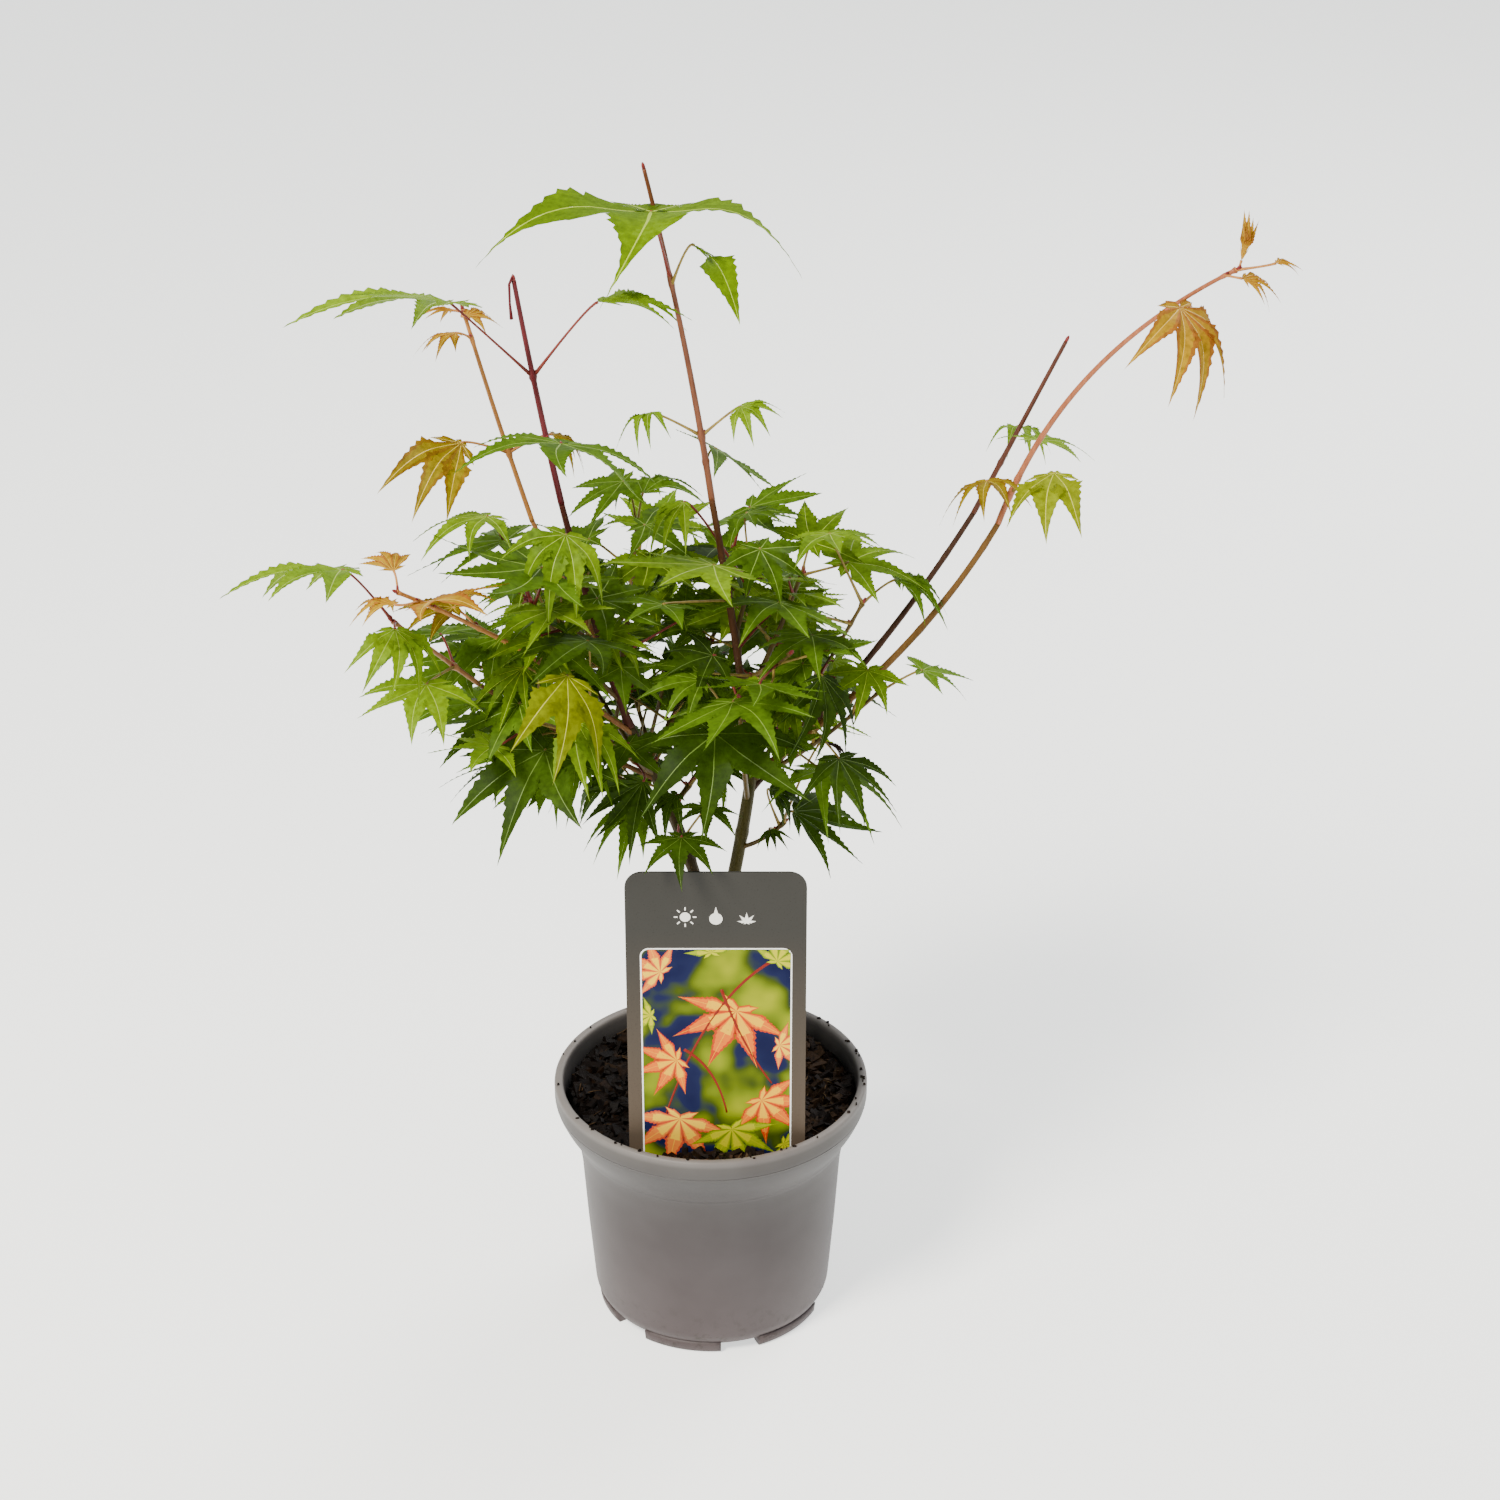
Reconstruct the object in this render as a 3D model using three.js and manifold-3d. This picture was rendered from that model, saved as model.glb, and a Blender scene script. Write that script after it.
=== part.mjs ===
// A young Japanese maple in a round plastic nursery pot, with a plant label pushed into the potting mix.
// Millimetres, +Z up. The origin is on the floor, under the middle of the pot.
// Two woody stems fork from one short trunk. Seven long shoots stand out of a rounded leafy crown,
// and every leaf is a thin five-lobed solid on its own stalk, set in opposite pairs as on the real plant.
import * as THREE from "three";
import Module from "manifold-3d";

const wasm = await Module();
wasm.setup();
const { Manifold, Mesh: ManifoldMesh } = wasm;

// Driving dimensions of the pot
const POT_HEIGHT = 107;
const RIM_RADIUS = 65;
const RIM_WIDTH = 3.7;
const RIM_DEPTH = 10;
const WALL = 1.5;
const BODY_TOP_RADIUS = 54.2;
const BODY_BASE_RADIUS = 49.6;
const SHOULDER_HEIGHT = 70;
const FLOOR_UNDERSIDE = 4.2;
const FOOT_COUNT = 6;
const FOOT_ARC = 40;
const FIRST_FOOT = -105;
const FOOT_OUTER_RADIUS = 47.8;
const FOOT_INNER_RADIUS = 42.5;
const CENTRE_PAD_RADIUS = 15;
const DRAIN_RADIUS = 4.5;
const DRAIN_CIRCLE = 33;
const POT_SEGMENTS = 36;
const DRAIN_SEGMENTS = 8;

// Driving dimensions of the potting mix and the label
const SOIL_HEIGHT = 98;
const SOIL_LUMP = 1;
const SOIL_SEGMENTS = 24;
const TRUNK_SEAT_RADIUS = 12;
const LABEL_WIDTH = 71;
const LABEL_TOP = 229;
const LABEL_FOOT = 52;
const LABEL_CORNER = 7;
const LABEL_THICKNESS = 0.9;
const LABEL_Y = -44.5;
const LABEL_X = 3;
const LABEL_SHOULDER = 94;
const LABEL_SLOPE = 8;
const LABEL_STAKE_WIDTH = 22;
const LABEL_POINT = 14;
const LABEL_CLEARANCE = 2;

// Gap kept between pieces that touch, and the finest detail that a fused solid keeps
const GAP = 0.3;
const FINEST = 0.02;

// Facets of a limb, how sharply its foot flares, and the room that leaves keep round it
const LIMB_SIDES = 6;
const LIMB_STEPS = 6;
const BUTTRESS = 6;
const LIMB_CLEARANCE = 0.9;
const CAGE_LINES = 4;
const CAGE_STEPS = 10;

// The leaf: five lobes spread from the end of the stalk, as shares of the middle lobe's length
const LOBE_ANGLES = [-82, -41, 0, 41, 82];
const LOBE_LENGTHS = [0.84, 0.97, 1, 0.97, 0.84];
const LOBE_SHOULDER_AT = 0.52;
const LOBE_SHOULDER_WIDTH = 0.14;
const SINUS_RADIUS = 0.3;
const STALK_ELBOW = 3.5;
const LEAF_CURL = 0.09;
const LEAF_THICKNESS = 1.0;
const STALK_RADIUS = 0.62;
const STALK_ROOT_RADIUS = 0.42;
const BUD_LENGTH = 1.1;

// The crown: short leafy branches in three tiers round the stems
const CROWN_MIDDLE = new THREE.Vector3(-18, 4, 0);
const CROWN_FLOOR = 212;
const CROWN_TIERS = [
  { name: "low", count: 3, root: 234, rise: 26, reach: 42, turn: 36, span: 200,
    pairs: 3, leaf: 30, droop: 6 },
  { name: "middle", count: 6, root: 252, rise: 34, reach: 60, turn: -12, span: 264,
    pairs: 4, leaf: 38, droop: 2 },
  { name: "high", count: 6, root: 286, rise: 38, reach: 54, turn: -30, span: 276,
    pairs: 4, leaf: 36, droop: -4 },
];

const at = (x, y, z) => new THREE.Vector3(x, y, z);
const UP = at(0, 0, 1);
const radians = THREE.MathUtils.degToRad;

// The direction of a compass way (0 is +X, 90 is +Y) and a rise above the level, in degrees
function heading(compass, rise) {
  const level = Math.cos(radians(rise));
  return at(level * Math.cos(radians(compass)), level * Math.sin(radians(compass)), Math.sin(radians(rise)));
}

// A fixed number from 0 to 1 for a seed and a count, the same on every run
function chance(seed, count) {
  let h = Math.imul(seed, 0x9e3779b1) ^ Math.imul(count + 1, 0x85ebca6b);
  h = Math.imul(h ^ (h >>> 15), 0x2c1b3c6d);
  h = Math.imul(h ^ (h >>> 12), 0x297a2d39);
  return ((h ^ (h >>> 15)) >>> 0) / 4294967296;
}

// The same, spread evenly from low to high
const between = (seed, count, low, high) => low + (high - low) * chance(seed, count);

// A closed solid from vertices and triangles
function solidOf(points, triangles) {
  const vertProperties = new Float32Array(points.flatMap((p) => [p.x, p.y, p.z]));
  return new Manifold(new ManifoldMesh({ numProp: 3, vertProperties, triVerts: new Uint32Array(triangles) }));
}

// A solid from a three.js geometry whose faces close
function solidFromGeometry(geometry) {
  const position = (geometry.index ? geometry.toNonIndexed() : geometry).getAttribute("position");
  const seen = new Map();
  const points = [];
  const triangles = [];
  for (let i = 0; i < position.count; i++) {
    const p = new THREE.Vector3().fromBufferAttribute(position, i);
    const key = [p.x, p.y, p.z].map((v) => Math.round(v * 1e4)).join();
    if (!seen.has(key)) {
      seen.set(key, points.length);
      points.push(p);
    }
    triangles.push(seen.get(key));
  }
  const kept = [];
  for (let i = 0; i < triangles.length; i += 3) {
    const [a, b, c] = triangles.slice(i, i + 3);
    if (a !== b && b !== c && c !== a) kept.push(a, b, c);
  }
  return solidOf(points, kept);
}

// A solid skinned over a row of rings, each with as many points, and closed by a fan at both ends
function skinned(rings) {
  const sides = rings[0].length;
  const points = rings.flat();
  const middleOf = (ring) =>
    ring.reduce((sum, p) => sum.add(p), at(0, 0, 0)).divideScalar(sides);
  const first = points.push(middleOf(rings[0])) - 1;
  const last = points.push(middleOf(rings.at(-1))) - 1;
  const end = (rings.length - 1) * sides;
  const triangles = [];
  for (let j = 0; j < sides; j++) {
    const k = (j + 1) % sides;
    triangles.push(first, k, j, last, end + j, end + k);
    for (let i = 0; i < end; i += sides) {
      triangles.push(i + j, i + k, i + sides + k, i + j, i + sides + k, i + sides + j);
    }
  }
  return solidOf(points, triangles);
}

// The largest piece of a solid, without sealed hollows or loose scraps
function largest(solid) {
  const pieces = solid.simplify(FINEST).decompose();
  return pieces.reduce((best, piece) => (piece.volume() > best.volume() ? piece : best));
}

// Two directions square to a limb, which stay steady along it
function squareTo(direction, chord) {
  const steady = Math.abs(chord.z) > 0.8 ? at(1, 0, 0) : UP;
  const side = new THREE.Vector3().crossVectors(steady, direction).normalize();
  return [side, new THREE.Vector3().crossVectors(direction, side)];
}

// A round tapering limb along a curve; more is added to its radius and both its ends, and bud to its tip
function tube({ curve, base, tip, flare = 0, bud = 0 }, sides, steps, more = 0, spin = 0) {
  const chord = new THREE.Vector3().subVectors(curve.v2, curve.v0).normalize();
  const rings = [];
  for (let i = 0; i <= steps; i++) {
    const t = i / steps;
    const direction = curve.getTangent(t);
    const [side, across] = squareTo(direction, chord);
    const centre = curve.getPoint(t);
    if (i === 0) centre.addScaledVector(direction, -more);
    if (i === steps) centre.addScaledVector(direction, more + bud);
    const radius = base + (tip - base) * t + flare * (1 - t) ** BUTTRESS + more;
    const ring = [];
    for (let j = 0; j < sides; j++) {
      const turn = spin + (2 * Math.PI * j) / sides;
      ring.push(
        centre
          .clone()
          .addScaledVector(side, radius * Math.cos(turn))
          .addScaledVector(across, radius * Math.sin(turn)),
      );
    }
    rings.push(ring);
  }
  return skinned(rings);
}

// A limb's curve from its foot to its tip; bow moves the middle handle off the straight line
function bowed(foot, tip, bow = at(0, 0, 0)) {
  const handle = foot.clone().add(tip).multiplyScalar(0.5).add(bow);
  return new THREE.QuadraticBezierCurve3(foot, handle, tip);
}

// The limbs, each with its parent, where it leaves the parent, its tip, its bow and its two radii
const limbs = new Map();

function addLimb(name, parent, leaves, tip, bow, base, end, flare = 0) {
  const foot = parent ? limbs.get(parent).curve.getPoint(leaves) : at(0, 0, SOIL_HEIGHT + GAP);
  limbs.set(name, { name, curve: bowed(foot, tip, bow), base, tip: end, flare });
}

addLimb("trunk", null, 0, at(2, 0, 163), at(-1, 0, 0), 4.8, 3.8, 2.6);
addLimb("right_stem", "trunk", 1, at(17, 3, 248), at(2, 0, 0), 2.9, 2.3);
addLimb("left_stem", "trunk", 1, at(-31, -5, 272), at(9, 3, -1), 2.6, 2.0);
addLimb("leader_bough", "right_stem", 1, at(2, -18, 374), at(2, 2, 0), 1.75, 1.2);
addLimb("left_leader_bough", "left_stem", 1, at(-54, -22, 374), at(-2, 0, 0), 1.6, 1.15);
addLimb("left_slender_bough", "left_leader_bough", 0.36, at(-67, 5, 355), at(-2, 2, 0), 1.0, 0.85);
addLimb("left_front_bough", "left_stem", 0.97, at(-67, -35, 318), at(2, -2, -3), 1.05, 0.85);
addLimb("left_low_bough", "left_stem", 0.78, at(-87, -30, 303), at(2, 1, -6), 1.05, 0.85);
addLimb("right_arching_bough", "right_stem", 0.97, at(113, 26, 345), at(18, 9, -8), 1.6, 1.15);
addLimb("right_second_bough", "right_stem", 0.9, at(105, 50, 339), at(8, 6, -6), 1.45, 1.05);

// The label's outline above the mix and its pointed stake below
function labelSolid(more = 0) {
  const half = LABEL_WIDTH / 2 + more;
  const stake = LABEL_STAKE_WIDTH / 2 + more;
  const round = LABEL_CORNER;
  const top = LABEL_TOP + more;
  const shape = new THREE.Shape();
  shape.moveTo(0, LABEL_FOOT - more);
  shape.lineTo(stake, LABEL_FOOT + LABEL_POINT);
  shape.lineTo(stake, LABEL_SHOULDER - LABEL_SLOPE);
  shape.lineTo(half, LABEL_SHOULDER);
  shape.lineTo(half, top - round);
  shape.absarc(half - round, top - round, round, 0, Math.PI / 2);
  shape.absarc(round - half, top - round, round, Math.PI / 2, Math.PI);
  shape.lineTo(-half, LABEL_SHOULDER);
  shape.lineTo(-stake, LABEL_SHOULDER - LABEL_SLOPE);
  shape.lineTo(-stake, LABEL_FOOT + LABEL_POINT);
  const depth = LABEL_THICKNESS + 2 * more;
  const plate = new THREE.ExtrudeGeometry(shape, { depth, bevelEnabled: false, curveSegments: 5 });
  plate.rotateX(Math.PI / 2);
  plate.translate(LABEL_X, LABEL_Y + depth / 2, 0);
  return solidFromGeometry(plate);
}

// The pot's outside and inside, from the floor's middle out, up over the rim and back down
function potSolid() {
  const inside = RIM_RADIUS - RIM_WIDTH;
  const profile = [
    [0, 0],
    [CENTRE_PAD_RADIUS, 0],
    [CENTRE_PAD_RADIUS + 2.5, FLOOR_UNDERSIDE],
    [BODY_BASE_RADIUS - 2.2, FLOOR_UNDERSIDE],
    [BODY_BASE_RADIUS, FLOOR_UNDERSIDE + 4],
    [BODY_TOP_RADIUS, SHOULDER_HEIGHT],
    [BODY_TOP_RADIUS + 1.2, SHOULDER_HEIGHT + 8],
    [BODY_TOP_RADIUS + 3.4, SHOULDER_HEIGHT + 14],
    [BODY_TOP_RADIUS + 7.6, SHOULDER_HEIGHT + 21],
    [RIM_RADIUS, POT_HEIGHT - RIM_DEPTH],
    [RIM_RADIUS, POT_HEIGHT - 1],
    [RIM_RADIUS - 0.9, POT_HEIGHT],
    [inside + 0.9, POT_HEIGHT],
    [inside, POT_HEIGHT - 1],
    [inside - 0.8, POT_HEIGHT - RIM_DEPTH],
    [BODY_TOP_RADIUS + 5.2, SHOULDER_HEIGHT + 20.5],
    [BODY_TOP_RADIUS + 1.9, SHOULDER_HEIGHT + 14.6],
    [BODY_TOP_RADIUS - WALL, SHOULDER_HEIGHT],
    [BODY_BASE_RADIUS - WALL, FLOOR_UNDERSIDE + 5],
    [BODY_BASE_RADIUS - WALL - 1.6, FLOOR_UNDERSIDE + WALL],
    [0, FLOOR_UNDERSIDE + WALL],
  ];
  const points = profile.map(([r, z]) => new THREE.Vector2(r, z));
  const turned = new THREE.LatheGeometry(points, POT_SEGMENTS).rotateX(Math.PI / 2);
  let pot = solidFromGeometry(turned);
  for (let i = 0; i < FOOT_COUNT; i++) {
    const middle = radians(FIRST_FOOT + (i * 360) / FOOT_COUNT);
    pot = pot.add(footSolid(middle)).subtract(drainSolid(middle + Math.PI / FOOT_COUNT));
  }
  return pot;
}

// One foot, a stretch of a ring that reaches from the floor up into the pot's base
function footSolid(middle) {
  const half = radians(FOOT_ARC / 2);
  const shape = new THREE.Shape();
  shape.absarc(0, 0, FOOT_OUTER_RADIUS, middle - half, middle + half);
  shape.absarc(0, 0, FOOT_INNER_RADIUS, middle + half, middle - half, true);
  const depth = FLOOR_UNDERSIDE + WALL / 2;
  return solidFromGeometry(
    new THREE.ExtrudeGeometry(shape, { depth, bevelEnabled: false, curveSegments: 3 }),
  );
}

// The cutter for one drain hole
function drainSolid(turn) {
  const cutter = new THREE.CylinderGeometry(DRAIN_RADIUS, DRAIN_RADIUS, 4 * WALL, DRAIN_SEGMENTS);
  cutter.rotateX(Math.PI / 2);
  const z = FLOOR_UNDERSIDE + WALL / 2;
  cutter.translate(DRAIN_CIRCLE * Math.cos(turn), DRAIN_CIRCLE * Math.sin(turn), z);
  return solidFromGeometry(cutter);
}

// The mix's surface height: soft lumps, level under the trunk
function soilHeight(radius, turn) {
  const lumps =
    Math.sin(3 * turn + radius * 0.11) + 0.7 * Math.sin(5 * turn - radius * 0.17) + 0.5 * Math.cos(8 * turn);
  const share = THREE.MathUtils.smoothstep(radius, TRUNK_SEAT_RADIUS, TRUNK_SEAT_RADIUS * 2);
  return SOIL_HEIGHT + SOIL_LUMP * lumps * share;
}

// The potting mix fills the pot to just below its rim, with a slot for the label
function soilSolid() {
  const floor = FLOOR_UNDERSIDE + WALL + GAP;
  const clear = WALL + GAP + 0.15;
  const wall = [
    [BODY_BASE_RADIUS - clear - 1.8, floor],
    [BODY_BASE_RADIUS - clear - 0.2, FLOOR_UNDERSIDE + 5.2],
    [BODY_TOP_RADIUS - clear - 0.2, SHOULDER_HEIGHT],
    [BODY_TOP_RADIUS - clear + 0.3, SHOULDER_HEIGHT + 7],
    [BODY_TOP_RADIUS + 1.2, SHOULDER_HEIGHT + 14.6],
    [BODY_TOP_RADIUS + 4.4, SHOULDER_HEIGHT + 20.5],
  ];
  const turns = Array.from({ length: SOIL_SEGMENTS }, (_, j) => (2 * Math.PI * j) / SOIL_SEGMENTS);
  const ring = (radius, height) =>
    turns.map((turn) => at(radius * Math.cos(turn), radius * Math.sin(turn), height(turn)));
  const edge = RIM_RADIUS - RIM_WIDTH - 1.6;
  const top = [edge, 47, 34, 22, TRUNK_SEAT_RADIUS];
  const rings = [
    ...wall.map(([radius, z]) => ring(radius, () => z)),
    ...top.map((radius) => ring(radius, (turn) => soilHeight(radius, turn))),
  ];
  return largest(skinned(rings).subtract(labelSolid(GAP)));
}

// A leaf's frame: where its lobes meet, the way its middle lobe points, and its upper side
function leafFrame(base, forward, roll, size) {
  const ahead = forward.clone().normalize();
  const flat = Math.abs(ahead.z) > 0.98 ? at(1, 0, 0) : UP;
  const normal = flat.clone().addScaledVector(ahead, -flat.dot(ahead)).normalize();
  normal.applyAxisAngle(ahead, roll);
  const side = new THREE.Vector3().crossVectors(normal, ahead);
  return { base, ahead, side, normal, size };
}

// A point of a leaf: radius is a share of its size, and the lobes curl down towards their tips
function leafPoint({ base, ahead, side, normal, size }, degrees, radius) {
  const turn = radians(degrees);
  return base
    .clone()
    .addScaledVector(ahead, size * radius * Math.cos(turn))
    .addScaledVector(side, size * radius * Math.sin(turn))
    .addScaledVector(normal, -size * LEAF_CURL * radius * radius);
}

// The leaf's outline: a tip for each lobe, a shoulder on both sides of it, and a notch between two lobes.
// The outer lobes have only their inner shoulder.
function leafOutline(frame) {
  const lean = THREE.MathUtils.radToDeg(Math.atan(LOBE_SHOULDER_WIDTH / LOBE_SHOULDER_AT));
  const last = LOBE_ANGLES.length - 1;
  const outline = [];
  LOBE_ANGLES.forEach((angle, k) => {
    const shoulder = LOBE_LENGTHS[k] * Math.hypot(LOBE_SHOULDER_AT, LOBE_SHOULDER_WIDTH);
    if (k > 0) outline.push(leafPoint(frame, angle - lean, shoulder));
    outline.push(leafPoint(frame, angle, LOBE_LENGTHS[k]));
    if (k < last) {
      outline.push(leafPoint(frame, angle + lean, shoulder));
      outline.push(leafPoint(frame, (angle + LOBE_ANGLES[k + 1]) / 2, SINUS_RADIUS));
    }
  });
  return outline;
}

// The bend of a leaf's stalk, just behind the leaf
const elbowOf = ({ base, ahead }) => base.clone().addScaledVector(ahead, -STALK_ELBOW);

// The leaf and its stalk as one solid: a thin star, thickest where its lobes meet,
// on a bent stalk of three sides
function leafSolid({ root, frame }) {
  const { base, ahead, side, normal } = frame;
  const elbow = elbowOf(frame);
  const along = new THREE.Vector3().subVectors(elbow, root).normalize();
  const turned = new THREE.Quaternion().setFromUnitVectors(ahead, along);
  const halfTurned = new THREE.Quaternion().slerp(turned, 0.5);
  const straight = new THREE.Quaternion();
  const prism = (centre, spin, radius) =>
    [side.clone(), side.clone().negate(), normal.clone().negate()].map((way) =>
      way.multiplyScalar(radius).applyQuaternion(spin).add(centre),
    );
  const joint = base.clone().addScaledVector(ahead, -2 * STALK_RADIUS);
  const outline = leafOutline(frame);
  const count = outline.length;
  const points = [
    ...outline,
    ...prism(joint, straight, STALK_RADIUS),
    ...prism(elbow, halfTurned, STALK_RADIUS),
    ...prism(root, turned, STALK_ROOT_RADIUS),
  ];
  const [right, left, below] = [count, count + 1, count + 2];
  const over = points.push(base.clone().addScaledVector(normal, LEAF_THICKNESS / 2)) - 1;
  const under = points.push(base.clone().addScaledVector(normal, -LEAF_THICKNESS / 2)) - 1;
  const upperRing = [...outline.keys(), right, left];
  const lowerRing = [...outline.keys(), right, below, left];
  const triangles = [];
  upperRing.forEach((p, i) => triangles.push(over, p, upperRing[(i + 1) % upperRing.length]));
  lowerRing.forEach((p, i) => triangles.push(under, lowerRing[(i + 1) % lowerRing.length], p));
  [
    [right, left],
    [left, below],
    [below, right],
  ].forEach(([p, q]) => {
    [0, 3].forEach((row) => {
      triangles.push(q + row, p + row, p + row + 3, q + row, p + row + 3, q + row + 3);
    });
  });
  triangles.push(right + 6, below + 6, left + 6);
  return solidOf(points, triangles);
}

// True where the line from a to b passes through the triangle p q r
const EDGE_1 = at(0, 0, 0);
const EDGE_2 = at(0, 0, 0);
const RAY = at(0, 0, 0);
const CROSS = at(0, 0, 0);
const OFFSET = at(0, 0, 0);
function pierces([a, b], [p, q, r]) {
  EDGE_1.subVectors(q, p);
  EDGE_2.subVectors(r, p);
  RAY.subVectors(b, a);
  CROSS.crossVectors(RAY, EDGE_2);
  const scale = EDGE_1.dot(CROSS);
  if (Math.abs(scale) < 1e-9) return false;
  OFFSET.subVectors(a, p);
  const u = OFFSET.dot(CROSS) / scale;
  if (u < 0 || u > 1) return false;
  OFFSET.cross(EDGE_1);
  const v = RAY.dot(OFFSET) / scale;
  if (v < 0 || u + v > 1) return false;
  const t = EDGE_2.dot(OFFSET) / scale;
  return t >= 0 && t <= 1;
}

// What a leaf or twig takes up, as lines and triangles inside one box
function bulk(lines, faces) {
  const box = new THREE.Box3().setFromPoints([...lines, ...faces].flat()).expandByScalar(0.5);
  return { lines, faces, box };
}

// True where two bulks cross
function crosses(one, other) {
  if (!one.box.intersectsBox(other.box)) return false;
  return (
    one.lines.some((line) => other.faces.some((face) => pierces(line, face))) ||
    other.lines.some((line) => one.faces.some((face) => pierces(line, face)))
  );
}

// The bulk of a limb or twig: lines along its surface
function limbBulk({ curve, base, tip }) {
  const chord = new THREE.Vector3().subVectors(curve.v2, curve.v0).normalize();
  const lines = [];
  for (let j = 0; j < CAGE_LINES; j++) {
    const turn = (2 * Math.PI * j) / CAGE_LINES;
    const row = [];
    for (let i = 0; i <= CAGE_STEPS; i++) {
      const t = i / CAGE_STEPS;
      const [side, across] = squareTo(curve.getTangent(t), chord);
      const radius = base + (tip - base) * t + LIMB_CLEARANCE;
      row.push(
        curve
          .getPoint(t)
          .addScaledVector(side, radius * Math.cos(turn))
          .addScaledVector(across, radius * Math.sin(turn)),
      );
    }
    for (let i = 0; i < CAGE_STEPS; i++) lines.push([row[i], row[i + 1]]);
  }
  return bulk(lines, []);
}

// The label's bulk: its two faces
function labelBulk() {
  const half = LABEL_WIDTH / 2 + LABEL_CLEARANCE;
  const corner = (side, z) => at(LABEL_X + side * half, LABEL_Y, z);
  const a = corner(-1, SOIL_HEIGHT);
  const b = corner(1, SOIL_HEIGHT);
  const c = corner(1, LABEL_TOP + LABEL_CLEARANCE);
  const d = corner(-1, LABEL_TOP + LABEL_CLEARANCE);
  return bulk(
    [
      [a, b],
      [b, c],
      [c, d],
      [d, a],
    ],
    [
      [a, b, c],
      [a, c, d],
    ],
  );
}

// A leaf's bulk: lines along its stalk's surface, its outline and its upper side
const STALK_CLEARANCE = 1.1;
function leafBulk(root, frame) {
  const outline = leafOutline(frame);
  const elbow = elbowOf(frame);
  const next = (i) => outline[(i + 1) % outline.length];
  const lines = outline.map((p, i) => [p, next(i)]);
  outline.forEach((p) => lines.push([frame.base, p]));
  lines.push([elbow, frame.base]);
  const along = new THREE.Vector3().subVectors(elbow, root).normalize();
  const [side, across] = squareTo(along, along);
  [0, 120, 240].forEach((turn) => {
    const shift = side
      .clone()
      .multiplyScalar(STALK_CLEARANCE * Math.cos(radians(turn)))
      .addScaledVector(across, STALK_CLEARANCE * Math.sin(radians(turn)));
    lines.push([root.clone().add(shift), elbow.clone().add(shift)]);
  });
  return bulk(
    lines,
    outline.map((p, i) => [frame.base, p, next(i)]),
  );
}

// Leaves stay above the crown's floor, which rises to the front so that the label stays in sight
const FLOOR_SLOPE = 0.52;
const crownFloor = (y) => Math.max(CROWN_FLOOR, LABEL_TOP - 20 - FLOOR_SLOPE * y);
const roomFor = (points) => points.every((p) => p.z > crownFloor(p.y));

// What is already placed, and the middle lines of all limbs and twigs
const taken = [labelBulk()];
const stems = [];

const STEM_SAMPLES = 24;
const STEM_CLEARANCE = 1.8;
const FREE_FROM = 0.16;
function addStem(stem) {
  taken.push(limbBulk(stem));
  stems.push({ points: stem.curve.getPoints(STEM_SAMPLES), radius: stem.base });
}
limbs.forEach(addStem);

// True where a new stem, past its first stretch, passes through a limb, a twig or a leaf
function stemBlocked({ curve, base }) {
  const first = Math.ceil(STEM_SAMPLES * FREE_FROM);
  const points = curve.getPoints(STEM_SAMPLES).slice(first);
  const near = stems.some((other) => {
    const room = base + other.radius + STEM_CLEARANCE;
    return points.some((p) => other.points.some((q) => p.distanceTo(q) < room));
  });
  if (near) return true;
  const place = bulk(points.slice(1).map((p, i) => [points[i], p]), []);
  return taken.some((other) => crosses(place, other));
}

const TRIES = 24;
const TWIG_SIDES = 4;
const STRAIGHT_STEPS = 3;
const STEPS_PER_BOW = 0.25;

// One leaf on its stalk. It tries a few ways to sit clear of all that is placed, or else is left out.
function placeLeaf(mass, root, way, length, size, droop, count) {
  for (let turn = 0; turn < TRIES; turn++) {
    const draw = (k, low, high) => between(mass.seed, count * 101 + turn * 11 + k, low, high);
    const ease = turn / TRIES;
    const bent = way
      .clone()
      .applyAxisAngle(UP, radians(draw(0, -14, 14) * (1 + 2 * ease)))
      .addScaledVector(UP, draw(1, -0.1, 0.15) * (1 + 2 * ease))
      .normalize();
    const base = root.clone().addScaledVector(bent, length * draw(2, 0.85, 1.15));
    const flat = at(bent.x, bent.y, 0).normalize();
    const hang = radians(droop + draw(3, -20, 22) * (1 + ease));
    const forward = flat
      .applyAxisAngle(UP, radians(draw(4, -36, 36) * (1 + ease)))
      .multiplyScalar(Math.cos(hang))
      .addScaledVector(UP, -Math.sin(hang));
    const roll = radians(draw(5, -16, 16) * (1 + ease));
    const frame = leafFrame(base, forward, roll, size * (1 - 0.35 * ease));
    const place = leafBulk(root, frame);
    if (!roomFor(leafOutline(frame))) continue;
    if (taken.some((other) => crosses(place, other))) continue;
    taken.push(place);
    mass.leaves.push({ root, frame });
    return;
  }
}

// The direction of one side of a leaf pair: tilted off the twig, and turned round it
function pairWay(direction, turn, tilt) {
  const [side, across] = squareTo(direction, direction);
  return direction
    .clone()
    .multiplyScalar(Math.cos(radians(tilt)))
    .addScaledVector(side, Math.sin(radians(tilt)) * Math.cos(turn))
    .addScaledVector(across, Math.sin(radians(tilt)) * Math.sin(turn));
}

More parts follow.
